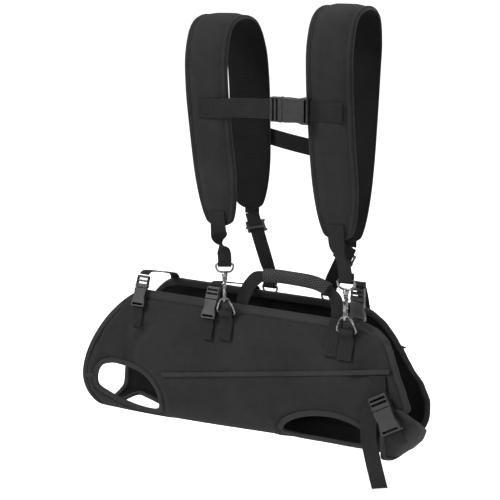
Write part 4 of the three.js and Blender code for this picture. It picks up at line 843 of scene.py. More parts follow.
def inside(outline, x, y):
    """Whether points lie in an outline, by counting the edges that a ray to +x crosses."""
    a, b = outline, np.roll(outline, -1, axis=0)
    shape = np.shape(x)
    x, y = np.ravel(x)[:, None], np.ravel(y)[:, None]
    cross = (a[:, 1] > y) != (b[:, 1] > y)
    at = a[:, 0] + (y - a[:, 1]) / np.where(b[:, 1] == a[:, 1], 1e-9, b[:, 1] - a[:, 1]) \
        * (b[:, 0] - a[:, 0])
    return (np.sum(cross & (x < at), axis=1) % 2 == 1).reshape(shape)


def nearest(outline, x, y):
    """Nearest points of a closed outline."""
    a, b = outline, np.roll(outline, -1, axis=0)
    p = np.stack([x, y], -1)[:, None, :]
    d = b - a
    t = np.clip(np.sum((p - a) * d, -1) / np.sum(d * d, -1), 0, 1)
    q = a + t[..., None] * d
    k = np.argmin(np.sum((p - q) ** 2, -1), axis=1)
    return q[np.arange(len(k)), k]


def gutter(distance, tape):
    """How far the cloth dips at a distance from an edge under a tape: a sewn valley along the
    tape's inner edge, then the padding's swell behind it."""
    return 1.3 * np.exp(-((distance - tape - 0.9) / 1.7) ** 2) \
        - 1.0 * np.exp(-((distance - tape - 10) / 6.5) ** 2)


def edge_dip(u, s, p, holes):
    """Sum of the gutters along the rim, along both ends, and round the openings."""
    girth = lengths(GIRTH)[-1]
    dip = gutter(np.minimum(s, 1 - s) * girth, 12.5)
    dip = dip + gutter(np.minimum(u, 1 - u) * 500.0, 7.5)
    flat = p.reshape(-1, 3)
    for outline, plane, test in holes:
        mine = np.flatnonzero(test(flat))
        q = nearest(outline, flat[mine, 0], flat[mine, plane])
        away = np.hypot(q[:, 0] - flat[mine, 0], q[:, 1] - flat[mine, plane])
        dip.ravel()[mine] += gutter(away, 7.0)
    return dip


def panel(name, u, s, holes, material):
    """Padded cloth over a grid of (u, s): the surface less its slack, with the leg openings left
    out, its border drawn onto their outlines, and a second face SHELL - 0.6 mm inside it."""
    p = body(u, s)
    n = body_normal(u, s)
    dip = np.clip(slack(p) + edge_dip(u, s, p, holes), -0.9, 3.4)
    verts = (p - n * (dip + 0.15)[..., None]).reshape(-1, 3)
    normal = n.reshape(-1, 3)
    nu, ns = u.shape[0] - 1, u.shape[1] - 1
    quads = grid_faces(nu, ns)
    across = np.concatenate([np.zeros((nu + 1, 1)),
                             np.cumsum(np.linalg.norm(np.diff(p, axis=1), axis=2), 1)], 1)
    uv = grid_uv(across, p[..., 0])
    middle = verts[quads].mean(axis=1)
    keep = np.ones(len(quads), bool)
    for outline, plane, test in holes:
        keep &= ~(inside(outline, middle[:, 0], middle[:, plane]) & test(middle))
    quads, uv = quads[keep], uv[keep]
    used = np.zeros(len(verts), int)
    np.add.at(used, quads.ravel(), 1)
    full = np.zeros(len(verts), int)
    np.add.at(full, grid_faces(nu, ns).ravel(), 1)
    border = np.flatnonzero((used > 0) & (used < full))
    for outline, plane, test in holes:
        b = border[test(verts[border])]
        q = nearest(outline, verts[b, 0], verts[b, plane])
        near = np.hypot(q[:, 0] - verts[b, 0], q[:, 1] - verts[b, plane]) < 6.0
        verts[b[near], 0] = q[near, 0]
        verts[b[near], plane] = q[near, 1]
    order = np.full(len(verts), -1)
    order[np.flatnonzero(used)] = np.arange(np.count_nonzero(used))
    count = np.count_nonzero(used)
    out_v, n_v = verts[used > 0], normal[used > 0]
    quads = order[quads]
    both = np.vstack([out_v, out_v - n_v * (SHELL - 0.6)])
    edges = np.concatenate([quads[:, [k, (k + 1) % 4]] for k in range(4)])
    keys = set(map(tuple, edges[:, ::-1].tolist()))
    rim = np.array([e for e in edges.tolist() if tuple(e) not in keys])
    walls = np.stack([rim[:, 1], rim[:, 0], rim[:, 0] + count, rim[:, 1] + count], -1)
    faces = [quads, (quads + count)[:, ::-1], walls]
    uvs = [uv, uv[:, ::-1], np.zeros((len(walls), 4, 2))]
    if not outward(both, faces):
        faces = [f[:, ::-1] for f in faces]
        uvs = [w[:, ::-1] for w in uvs]
    obj = put_mesh(name, both, faces, uvs, material, "sling")
    # The inner face and the walls take the darker copy of the cloth, painted shade for the inside of
    # the sling.
    obj.data.materials.append(INSIDE_PAINTED_SHADE)
    index = np.concatenate([np.zeros(len(quads), int), np.ones(len(quads) + len(walls), int)])
    obj.data.polygons.foreach_set("material_index", index.astype(np.int32))
    area = quad_area(both, quads) * MM * MM
    return obj, area


def quad_area(verts, quads):
    """Area of quads as two triangles each."""
    a, b, c, d = (verts[quads[:, k]] for k in range(4))
    return 0.5 * float(np.sum(np.linalg.norm(np.cross(b - a, c - a), axis=1)
                              + np.linalg.norm(np.cross(c - a, d - a), axis=1)))


def near_side(p):
    """Points on the near side of the sling."""
    return p[:, 1] < -28


def far_side(p):
    """Points on the far side of the sling."""
    return p[:, 1] > 28


def under_side(p):
    """Points of the sling's floor."""
    return p[:, 2] < FLOOR_REAR + 18


NEAR_HOLES = [(OPENINGS["near_rear"], 2, near_side), (OPENINGS["near_front"], 2, near_side)]
FAR_HOLES = [(OPENINGS["far_rear"], 2, far_side), (OPENINGS["far_front"], 2, far_side)]
FLOOR_HOLES = [(FLOOR_OPENING, 1, under_side)]


def build_panels():
    """The near and far side panels and the floor between their seams, each one cut of cloth."""
    nu = 300
    u = np.linspace(0, 1, nu + 1)
    near, far = seam_share(u, False), seam_share(u, True)
    k = np.linspace(0, 1, 71)
    made = {}
    s = near[:, None] * k[None, :]
    made["side_panel_near"] = panel("near_side", np.repeat(u[:, None], 71, 1), s, NEAR_HOLES, CLOTH)
    s = far[:, None] + (1 - far)[:, None] * k[None, :]
    made["side_panel_far"] = panel("far_side", np.repeat(u[:, None], 71, 1), s, FAR_HOLES, CLOTH)
    k = np.linspace(0, 1, 161)
    s = near[:, None] + (far - near)[:, None] * k[None, :]
    made["belly_panel"] = panel("belly", np.repeat(u[:, None], 161, 1), s,
                                NEAR_HOLES + FAR_HOLES + FLOOR_HOLES, CLOTH)
    for node, (obj, area) in made.items():
        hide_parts(node)


def band(name, line, normals, inward, width, thick, closed=True, over=1.0, lap=0.35):
    """Edge tape folded over a border: a rounded flat bar, width wide into the cloth and thick
    through it, whose outer end stands over millimetres past the border. line runs on the outer
    face; normals point out of it and inward points from the border into the cloth."""
    t = np.linspace(0, 2 * np.pi, 20, endpoint=False)
    width = np.broadcast_to(np.asarray(width, float), (len(line),))
    thick = np.broadcast_to(np.asarray(thick, float), (len(line),))
    c, s = np.cos(t), np.sin(t)
    a = np.sign(c) * np.abs(c) ** 0.55 * 0.5
    h = np.sign(s) * np.abs(s) ** 0.45 * 0.5
    centre = line + inward * (width / 2 - over)[:, None] - normals * (thick / 2 - lap)[:, None]
    verts = (centre[:, None] + (a[None] * width[:, None])[..., None] * inward[:, None]
             + (h[None] * thick[:, None])[..., None] * normals[:, None])
    rows = len(line)
    n = len(t)
    base = grid_faces(rows if closed else rows - 1, n, wrap=True)
    faces = base % (rows * n) if closed else base
    around = np.concatenate([[0], np.cumsum(np.hypot(np.diff(a), np.diff(h)))]) * width.mean()
    dist = np.concatenate([lengths(line), [lengths(line)[-1] + np.linalg.norm(line[0] - line[-1])]])
    dist = dist if closed else dist[:-1]
    uu = np.repeat(np.append(around, around[-1] + 1)[None], len(dist), 0)
    vv = np.repeat(dist[:, None], n + 1, 1)
    verts = verts.reshape(-1, 3)
    sets, uvs = [faces], [grid_uv(uu, vv)]
    if not closed:
        sets.append(np.vstack([np.arange(n)[None], (rows - 1) * n + np.arange(n)[None, ::-1]]))
        uvs.append(np.zeros((2, n, 2)))
    if not outward(verts, sets):
        sets, uvs = [f[:, ::-1] for f in sets], [w[:, ::-1] for w in uvs]
    return put_mesh(name, verts, sets, uvs, BINDING, "sling", sharp=None)


def even_loop(line, normals, step):
    """A closed line and its normals at even steps, and the unit direction along it."""
    shut = np.vstack([line, line[:1]])
    values = np.vstack([normals, normals[:1]])
    n = int(lengths(shut)[-1] / step)
    t = np.arange(n) / n
    p, m = along(shut, t), unit(along(shut, t, values))
    d = unit(np.roll(p, -1, 0) - np.roll(p, 1, 0))
    return p, unit(m - d * np.sum(m * d, -1, keepdims=True)), d


def soften(values, times):
    """Averages each row with its neighbours round a loop, times over."""
    for _ in range(times):
        values = 0.5 * values + 0.25 * (np.roll(values, 1, 0) + np.roll(values, -1, 0))
    return values


def build_bindings():
    """Tape round the whole edge of the sling and round each opening, with its line of stitches."""
    k = np.linspace(0, 1, 240, endpoint=False)
    u = np.concatenate([k, np.ones(240), 1 - k, np.zeros(240)])
    s = np.concatenate([np.zeros(240), k, np.ones(240), 1 - k])
    p, n = body(u, s), body_normal(np.clip(u, 0.002, 0.998), np.clip(s, 0.002, 0.998))
    p, n, d = even_loop(p, n, 2.5)
    p = soften(p, 3)
    inward = unit(np.cross(n, d))
    rim_like = smooth(p[:, 2], RIM_Z - 14, RIM_Z - 3)
    if np.mean(np.sum(inward * (np.array([-40.0, 0, -520]) - p), -1)) < 0:
        inward = -inward
    width = soften(mix(8.5, 13.5, rim_like)[:, None], 12)[:, 0]
    band("edge_binding", p, n, inward, width, SHELL + 1.5)
    for share, tag in ((0.86, "inner"), (0.16, "outer")):
        run = p + inward * (width * share - 1.0)[:, None] + n * 0.42
        stitches(f"edge_stitch_{tag}", np.vstack([run, run[:1]]), np.vstack([n, n[:1]]), "sling",
                 pitch=3.4, radius=0.33)
    for key, outline in OPENINGS.items():
        far = key.startswith("far")
        q, m = on_side(outline[::2, 0], outline[::2, 1], far)
        loop(q, m, f"leg_binding_{key}", 8.0)
    x, y = FLOOR_OPENING[::2, 0], FLOOR_OPENING[::2, 1]
    share = solve(lambda s: body(u_at(x, s), s)[..., 1] < y, 0.2, 0.8, x.shape)
    uu = u_at(x, share)
    loop(body(uu, share), body_normal(uu, share), "floor_binding", 6.5)


def loop(q, m, name, width):
    """Tape and stitches round one opening whose outline is q with normals m."""
    p, n, d = even_loop(q, m, 2.2)
    inward = unit(np.cross(n, d))
    if np.mean(np.sum(inward * (p.mean(0) - p), -1)) > 0:
        inward = -inward
    band(name, p, n, inward, width, SHELL + 1.3)
    run = p + inward * (width * 0.80 - 1.0) + n * 0.42
    stitches(name.replace("binding", "stitch"), np.vstack([run, run[:1]]), np.vstack([n, n[:1]]),
             "sling", pitch=3.2, radius=0.32)


# Lengths x between which each side's seam shows, either side of its rear leg opening.
SEAM_SPANS = {"near": [(-168.0, 205.0), (-318.0, -296.0)],
              "far": [(-132.0, 178.0), (-328.0, -262.0)]}


def build_seams():
    """Side seams: the upper panel's folded edge laps the floor panel as a thin lip, with one line
    of stitches along it."""
    for far in (False, True):
        tag = "far" if far else "near"
        for i, (x0, x1) in enumerate(SEAM_SPANS[tag]):
            x = np.linspace(x0, x1, max(int((x1 - x0) / 2.5), 6))
            p, n = on_side(x, seam_z(x), far)
            d = tangents(p)
            up = unit(np.cross(n, d))
            up = up * np.sign(up[:, 2:3])
            band(f"seam_lip_{tag}_{i}", p, n, up, 7.0, 1.7, closed=False, over=0.9, lap=1.15)
            run = p + up * 4.2 + n * 1.05
            stitches(f"seam_stitch_{tag}_{i}", run, n, "sling", pitch=3.0, radius=0.32)


# ---------- shoulder pads ----------
PAD_ROWS = 320                    # stations along a pad
PAD_GROOVE = 7.2                  # from a pad's edge to its line of stitches
PAD_FILL = 0.8                    # share of its thickness that a layer fills at its stitches


def pad_line(pad):
    """Middle line of a pad's underside: near tip, up its leg, over the arch, down to the far tip."""
    (nx, nz), (fx, fz), top, s, x0 = pad["near"], pad["far"], pad["top"], PAD_HALF_SPAN, pad["x"]
    return spline([
        (nx, -s + PAD_TIP_LEAN, nz), (mix(x0, nx, 0.82), -s, nz + 60),
        (mix(x0, nx, 0.55), -s - 1, nz + 130),
        (mix(x0, nx, 0.3), -s, top - 90), (mix(x0, nx, 0.15), -s + 8, top - 42),
        (mix(x0, nx, 0.05), -s * 0.55, top - 9), (x0, 0, top), (mix(x0, fx, 0.1), s * 0.55, top - 9),
        (mix(x0, fx, 0.3), s - 8, top - 42), (mix(x0, fx, 0.5), s, top - 90),
        (mix(x0, fx, 0.75), s + 1, fz + 130), (mix(x0, fx, 0.95), s, fz + 60),
        (fx, s - PAD_TIP_LEAN, fz)], per=40)


def pad_frame(pad, rows):
    """Stations of a pad: middle points, directions across and out, half widths, and distance
    from the nearer tip. The half width eases in over the tip on a quarter circle."""
    line = pad_line(pad)
    t = np.linspace(0, 1, rows)
    p = along(line, t)
    d = tangents(p)
    total = lengths(line)[-1]
    to_tip = np.minimum(t, 1 - t) * total
    k = np.clip(to_tip / PAD_TIP_ROUND, 0, 1)
    half = mix(PAD_TIP_WIDTH, PAD_WIDTH, np.sqrt(1 - (1 - k) ** 2)) / 2
    half = half * np.sqrt(1 - (1 - np.clip((to_tip + 0.6) / 9.0, 0, 1)) ** 2)
    w = unit(np.array([1.0, 0, 0]) - d * d[:, :1])
    n = np.cross(w, d)
    return p, w, n, half, to_tip, t * total


def pad_layer(name, pad, floor, thick, crown, groove, material, node, ripple):
    """One layer of a pad, swept along its line: a closed section whose upper face is crowned,
    with a sewn valley along each side and a rolled edge outside it, and whose lower face is flat."""
    m = 64
    p, w, _, half, to_tip, run = pad_frame(pad, PAD_ROWS)
    k = np.linspace(-1, 1, m // 2)
    a = np.sign(k) * (1 - (1 - np.abs(k)) ** 1.6)
    edge_mm = (1 - np.abs(a))[None, :] * half[:, None]
    roll = np.sqrt(np.clip(1 - (1 - np.clip(edge_mm / 2.6, 0, 1)) ** 2, 0, 1))
    valley = np.exp(-((edge_mm - groove) / 1.1) ** 2)
    rise = smooth(edge_mm, groove, groove + 14)
    tip_fade = smooth(to_tip, 2, 26)[:, None]
    wave = np.sin(run[:, None] / 13.0 + 2.0 * np.sin(run[:, None] / 57.0)) * 0.5 + 0.5
    pucker = ripple * wave * np.exp(-np.abs(edge_mm - groove - 2.5) / 4.0)
    bend = np.gradient(tangents(p), axis=0)
    inner = smooth(np.linalg.norm(bend, axis=1), 0.004, 0.02)[:, None]
    fold = ripple * 0.9 * inner * np.sin(run[:, None] / 6.5 + 0.8 * np.sin(a[None] * 2.2)) * rise
    top = floor + thick * PAD_FILL * roll + crown * rise * tip_fade - 1.7 * valley - pucker \
        + fold * 0.5
    low = floor + 0.12 * thick * (1 - roll)
    a_mm = a[None, :] * half[:, None]
    up = np.stack([a_mm, np.maximum(top, low + 0.3)], -1)
    down = np.stack([a_mm[:, ::-1], low[:, ::-1]], -1)
    ring = np.concatenate([up, down[:, 1:-1]], axis=1)
    obj = tube(name, p, w, ring * (1, -1), material, "sling", sharp=None)
    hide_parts(node)


def build_pads():
    """Cover, lining, piping and stitching of both pads."""
    lift = PAD_LINING + 2 * PAD_AIR
    top = lift + PAD_COVER * PAD_FILL
    for tag, pad in PADS.items():
        pad_layer(f"pad_{tag}_cover", pad, lift, PAD_COVER, 2.0, PAD_GROOVE, CLOTH,
                  f"pad_cover_{tag}", 0.75)
        pad_layer(f"pad_{tag}_lining", pad, 0.0, PAD_LINING, 0.3, 6.0, MESH,
                  f"pad_lining_{tag}", 0.1)
        p, w, n, half, to_tip, _ = pad_frame(pad, PAD_ROWS)
        keep = to_tip > 11
        for side in (-1, 1):
            inset = np.maximum(half - PAD_GROOVE, half * 0.35)
            line = p + w * (side * inset)[:, None] + n * (top - 1.0)
            stitches(f"pad_{tag}_stitch_{'near' if side < 0 else 'far'}", line[keep], n[keep],
                     "sling", pitch=3.4, radius=0.36)
            edge = p + w * (side * (half + 0.1))[:, None] + n * (lift - 0.2)
            piping(f"pad_{tag}_piping_{side}", edge, w, 1.35)


def piping(name, line, w, radius):
    """Cord of piping sewn into an edge: a round section swept along it."""
    a = np.linspace(0, 2 * np.pi, 12, endpoint=False)
    ring = np.repeat(np.stack([np.cos(a), np.sin(a)], -1)[None] * radius, len(line), axis=0)
    tube(name, line, w, ring, BINDING, "sling", sharp=None)


# ---------- chest flap ----------
FLAP_LOWER = [(196, -0.944, -607), (204, -0.639, -614), (207, -0.069, -614), (213, 0.417, -613),
              (217, 0.778, -604)]
FLAP_UPPER = [(199, -1.019, -533), (222, -1.025, -528), (243, -1.008, -538), (247, -0.694, -554),
              (237, -0.167, -574), (225, 0.417, -590), (218, 0.806, -599)]
FLAP_T, FLAP_BULGE = 3.0, 6.0


def flap(a, b):
    """Flap's back face: straight from its lower to its upper edge at share b, bowed out by a sine
    power, at share a of the way round. Returns points and the outward direction."""
    lower = spline([(x, y * HALF_WIDTH, z) for x, y, z in FLAP_LOWER])
    upper = spline([(x, y * HALF_WIDTH, z) for x, y, z in FLAP_UPPER])
    out = unit(np.stack([mix(0.1, 1.0, smooth(a, 0.15, 0.6)), mix(-1.0, 0.0, smooth(a, 0.2, 0.7)),
                         np.full_like(a, -0.25)], -1))
    bulge = FLAP_BULGE * np.sin(np.pi * np.clip(b, 0, 1)) ** 1.3 * (1 - a * 0.6)
    p = mix(along(lower, a.ravel()), along(upper, a.ravel()), b.ravel()[:, None])
    p = p.reshape(*a.shape, 3)
    p[..., 0] -= 10.0 * smooth(a, 0.62, 0.93)
    return p + out * bulge[..., None], out


def build_flap():
    """Chest flap with its tape and stitches."""
    na, nb = 90, 34
    a, b = np.meshgrid(np.linspace(0.01, 0.93, na + 1), np.linspace(0.03, 0.97, nb + 1),
                       indexing="ij")
    p, out = flap(a, b)
    dent = 0.7 * np.sin(a * 19 + b * 5) * np.sin(np.pi * b) \
        + 0.8 * np.exp(-((b - 0.5 - 0.2 * a) / 0.1) ** 2)
    front = p + out * (FLAP_T - 0.3 - 0.35 * np.clip(dent, -1, 1))[..., None]
    verts = np.vstack([front.reshape(-1, 3), (p + out * 0.3).reshape(-1, 3)])
    count = front.reshape(-1, 3).shape[0]
    quads = grid_faces(na, nb)
    edges = np.concatenate([quads[:, [k, (k + 1) % 4]] for k in range(4)])
    keys = set(map(tuple, edges[:, ::-1].tolist()))
    rim = np.array([e for e in edges.tolist() if tuple(e) not in keys])
    walls = np.stack([rim[:, 1], rim[:, 0], rim[:, 0] + count, rim[:, 1] + count], -1)
    uv = grid_uv(a * 150, b * 60)
    faces = [quads, (quads + count)[:, ::-1], walls]
    uvs = [uv, uv[:, ::-1], np.zeros((len(walls), 4, 2))]
    if not outward(verts, faces):
        faces, uvs = [f[:, ::-1] for f in faces], [w[:, ::-1] for w in uvs]
    obj = put_mesh("chest_flap", verts, faces, uvs, CLOTH, "sling", sharp=60)
    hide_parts("chest_panel")
    k = np.linspace(0, 1, 90)
    ba = np.concatenate([0.92 * (1 - k), np.zeros(58), 0.92 * k])
    bb = np.concatenate([np.ones(90), 1 - np.linspace(0, 1, 60)[1:-1], np.zeros(90)])
    q, o = flap(ba, bb)
    run = np.linspace(0, 1, 170)
    line = q + o * (FLAP_T - 0.2)
    q, m = along(line, run), unit(along(line, run, o))
    for _ in range(5):
        q[1:-1] = 0.5 * q[1:-1] + 0.25 * (q[:-2] + q[2:])
    d = tangents(q)
    m = unit(m - d * np.sum(m * d, -1, keepdims=True))
    inward = unit(np.cross(m, d))
    if np.mean(np.sum(inward * (q.mean(0) - q), -1)) < 0:
        inward = -inward
    width = np.interp(run, [0, 0.1, 0.9, 1], [3.0, 7.5, 7.5, 3.0])
    band("chest_flap_binding", q, m, inward, width, FLAP_T + 1.0, closed=False, over=0.8)
    sewn = q + inward * (width * 0.7)[:, None] + m * 0.38
    stitches("chest_flap_stitch", sewn, m, "sling", pitch=3.2, radius=0.32)


# ---------- straps ----------
def face_point(path, across_mm, along_mm, lift):
    """Point on a strap's face, across_mm off its middle and along_mm from its start."""
    line, across, _ = path
    t = np.clip(np.asarray(along_mm) / lengths(line)[-1], 0, 1)
    d = unit(along(line, t, tangents(line)))
    w = unit(along(line, t, across))
    n = unit(np.cross(d, w))
    return along(line, t) + w * np.asarray(across_mm)[:, None] + n * lift, n * np.sign(lift)


def box_stitch(name, path, start, stop, body, lift):
    """Box of stitches with a cross in it, sewn through a strap between two lengths."""
    half = float(np.mean(path[2])) / 2 - 2.6
    corners = [(-half, start), (half, start), (half, stop), (-half, stop)]
    runs = [(corners[i], corners[(i + 1) % 4]) for i in range(4)]
    runs += [(corners[0], corners[2]), (corners[1], corners[3])]
    out = []
    for i, ((a0, v0), (a1, v1)) in enumerate(runs):
        t = np.linspace(0.02, 0.98, 14)
        p, n = face_point(path, mix(a0, a1, t), mix(v0, v1, t), lift)
        out.append(stitches(f"{name}_{i}", p, n, body, pitch=2.6, radius=0.30, lift=0.0))
    join(name, out)


def build_straps():
    """Every strap of the model as woven webbing; returns the paths of them all by name."""
    owners = {"closure_rear_strap": "closure_rear_plug_side",
              "closure_middle_strap": "closure_middle_plug_side",
              "closure_front_strap": "closure_front_plug_side",
              "sternum_web": "sternum_plug_side", "chest_strap": "chest_plug_side",
              "handle_webbing": "handle"}
    paths = {}
    for name in STRAPS:
        lead = {"web_far_rear": 5.0, "web_far_front": 9.0}.get(name, 0.0)
        trim = 0.03 if name == "handle_webbing" else 0.0     # its ends stop at the rim
        paths[name] = strap(name, owners.get(name, "sling"), trim, 1 - trim, lead)
    return paths


def outside_lift(path, towards):
    """Signed distance from a strap's middle to the face that looks towards a direction."""
    line, across, _ = path
    n = np.cross(tangents(line)[2], across[2])
    return 0.95 if np.dot(n, towards) > 0 else -0.95


def build_sewing(paths):
    """Boxes of stitches where straps are sewn down."""
    near, far = np.array([0, -1.0, 0]), np.array([0, 1.0, 0])
    for tag in ("rear", "front"):
        path = paths[f"web_near_{tag}"]
        box_stitch(f"web_near_{tag}_sewn", path, 2, 19, "sling", outside_lift(path, near))
        path = paths[f"pad_loop_{tag}"]
        box_stitch(f"pad_loop_{tag}_sewn", path, 2, 20, "sling", outside_lift(path, far))
        for side, out in (("near", near), ("far", far)):
            path = paths[f"ring_tab_{side}_{tag}"]
            total = lengths(path[0])[-1]
            line, across, _ = path
            n = np.cross(tangents(line)[-3], across[-3])
            lift = 0.95 if np.dot(n, out) > 0 else -0.95
            box_stitch(f"ring_tab_{side}_{tag}_sewn", path, total - 26, total - 3, "sling", lift)
    for tag in ("rear", "middle", "front"):
        path = paths[f"closure_{tag}_tab"]
        total = lengths(path[0])[-1]
        side = far if tag == "front" else near
        box_stitch(f"closure_{tag}_tab_sewn", path, total - 17, total - 2.5, "sling",
                   outside_lift(path, side))
    path = paths["sternum_anchor"]
    total = lengths(path[0])[-1]
    box_stitch("sternum_anchor_sewn", path, total - 24, total - 2.5, "sling", outside_lift(path, near))
    path = paths["sternum_web"]
    box_stitch("sternum_web_sewn", path, 2, 20, "sternum_plug_side", outside_lift(path, near))
    path = paths["handle_anchor"]
    total = lengths(path[0])[-1]
    box_stitch("handle_anchor_sewn", path, total - 26, total - 3, "sling", outside_lift(path, near))
    path = paths["back_strap"]
    total = lengths(path[0])[-1]
    box_stitch("back_strap_sewn_a", path, 3, 26, "sling", outside_lift(path, far))
    box_stitch("back_strap_sewn_b", path, total - 26, total - 3, "sling", outside_lift(path, far))


# ---------- grab handle ----------
GRIP_REAR, GRIP_FRONT, GRIP_D = -6.0, 98.0, 20.0


def build_grip(paths):
    """Padded honeycomb sleeve round the handle's webbing: an oval section along its arch, drawn in
    at both ends under a turned hem, with the seam of its join along the underside."""
    line = paths["handle_webbing"][0]
    mask = (line[:, 0] > GRIP_REAR) & (line[:, 0] < GRIP_FRONT) & (line[:, 2] > RIM_Z + 20)
    part = line[mask]
    t = np.linspace(0, 1, 110)
    p = along(part, t)
    d = tangents(p)
    w = unit(np.cross(d, np.array([0, 1.0, 0])))
    total = lengths(p)[-1]
    run = t * total
    ends = np.minimum(run, total - run)
    m = 40
    a = np.linspace(0, 2 * np.pi, m, endpoint=False)
    hem = 0.84 + 0.16 * np.sqrt(np.clip(1 - (1 - np.clip(ends / 7, 0, 1)) ** 2, 0, 1))
    roll = 0.045 * np.exp(-((ends - 2.2) / 1.6) ** 2) - 0.035 * np.exp(-((ends - 6.0) / 1.2) ** 2)
    r = (GRIP_D / 2) * (hem + roll)
    seam = 0.05 * np.exp(-((np.angle(np.exp(1j * (a - np.pi)))) / 0.13) ** 2)
    soft = 0.012 * np.sin(run[:, None] / 9 + 3 * np.sin(a)[None]) + 0.01 * np.sin(3 * a)[None]
    rad_mm = r[:, None] * (1 - seam[None] + soft)
    section = np.stack([rad_mm * np.cos(a), rad_mm * np.sin(a) * 0.85], -1)
    obj = tube("handle_sleeve", p, w, section, HONEYCOMB, "handle", sharp=50)
    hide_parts("handle_grip")


# ---------- hooks and rings ----------
def wire_ring(name, points, radius, body):
    """Closed ring of round wire through points that lie in one plane, at even steps."""
    line = spline(points, closed=True, per=30)
    n = max(int(lengths(line)[-1] / 0.8), 40)
    line = along(line, np.linspace(0, 1, n + 1))
    plane = np.cross(line[n // 4] - line[0], line[n // 2] - line[0])
    side = np.repeat(unit(plane)[None], len(line), axis=0)
    a = np.linspace(0, 2 * np.pi, 14, endpoint=False)
    ring = np.repeat((np.stack([np.cos(a), np.sin(a)], -1) * radius)[None], len(line), axis=0)
    return tube(name, line, side, ring, STEEL, body, closed=True, sharp=None)


def lathe(name, profile, axis_point, body):
    """Body turned round a vertical axis from a profile of (radius, height)."""
    prof = np.asarray(profile, float)
    sides = 28
    a = np.linspace(0, 2 * np.pi, sides, endpoint=False)
    pts = np.stack([prof[:, None, 0] * np.cos(a), prof[:, None, 0] * np.sin(a),
                    np.repeat(prof[:, None, 1], sides, 1)], -1) + np.asarray(axis_point)
    verts = pts.reshape(-1, 3)
    caps = np.vstack([np.arange(sides)[None],
                      (len(prof) - 1) * sides + np.arange(sides)[None, ::-1]])
    sets = [grid_faces(len(prof) - 1, sides, wrap=True), caps]
    if not outward(verts, sets):
        sets = [s[:, ::-1] for s in sets]
    uvs = [np.zeros((len(s), s.shape[1], 2)) for s in sets]
    return put_mesh(name, verts, sets, uvs, STEEL, body, sharp=35)


def turned(points, yaw, origin):
    """Points in a hook's own X, Z plane turned by yaw degrees about the vertical and moved."""
    p = np.asarray(points, float)
    c, s = math.cos(math.radians(yaw)), math.sin(math.radians(yaw))
    return np.stack([p[:, 0] * c - p[:, 1] * s, p[:, 0] * s + p[:, 1] * c, p[:, 2]], -1) + origin


BOSS = [(2.2, 0.9), (3.9, 0.5), (4.5, -0.3), (4.5, -4.6), (4.1, -5.6), (3.2, -6.0)]
NECK = [(2.6, 0.0), (3.4, -0.3), (3.7, -1.2), (3.7, -4.0), (3.1, -5.4), (2.2, -6.2)]
HOOK_IN, HOOK_BAR, HOOK_BOWL_Z = 6.6, 4.0, -28.7    # bowl's radius, bar's width, bowl's middle
RING_HALF, RING_HIGH, RING_LEAN = 14.75, 23.0, 4.0


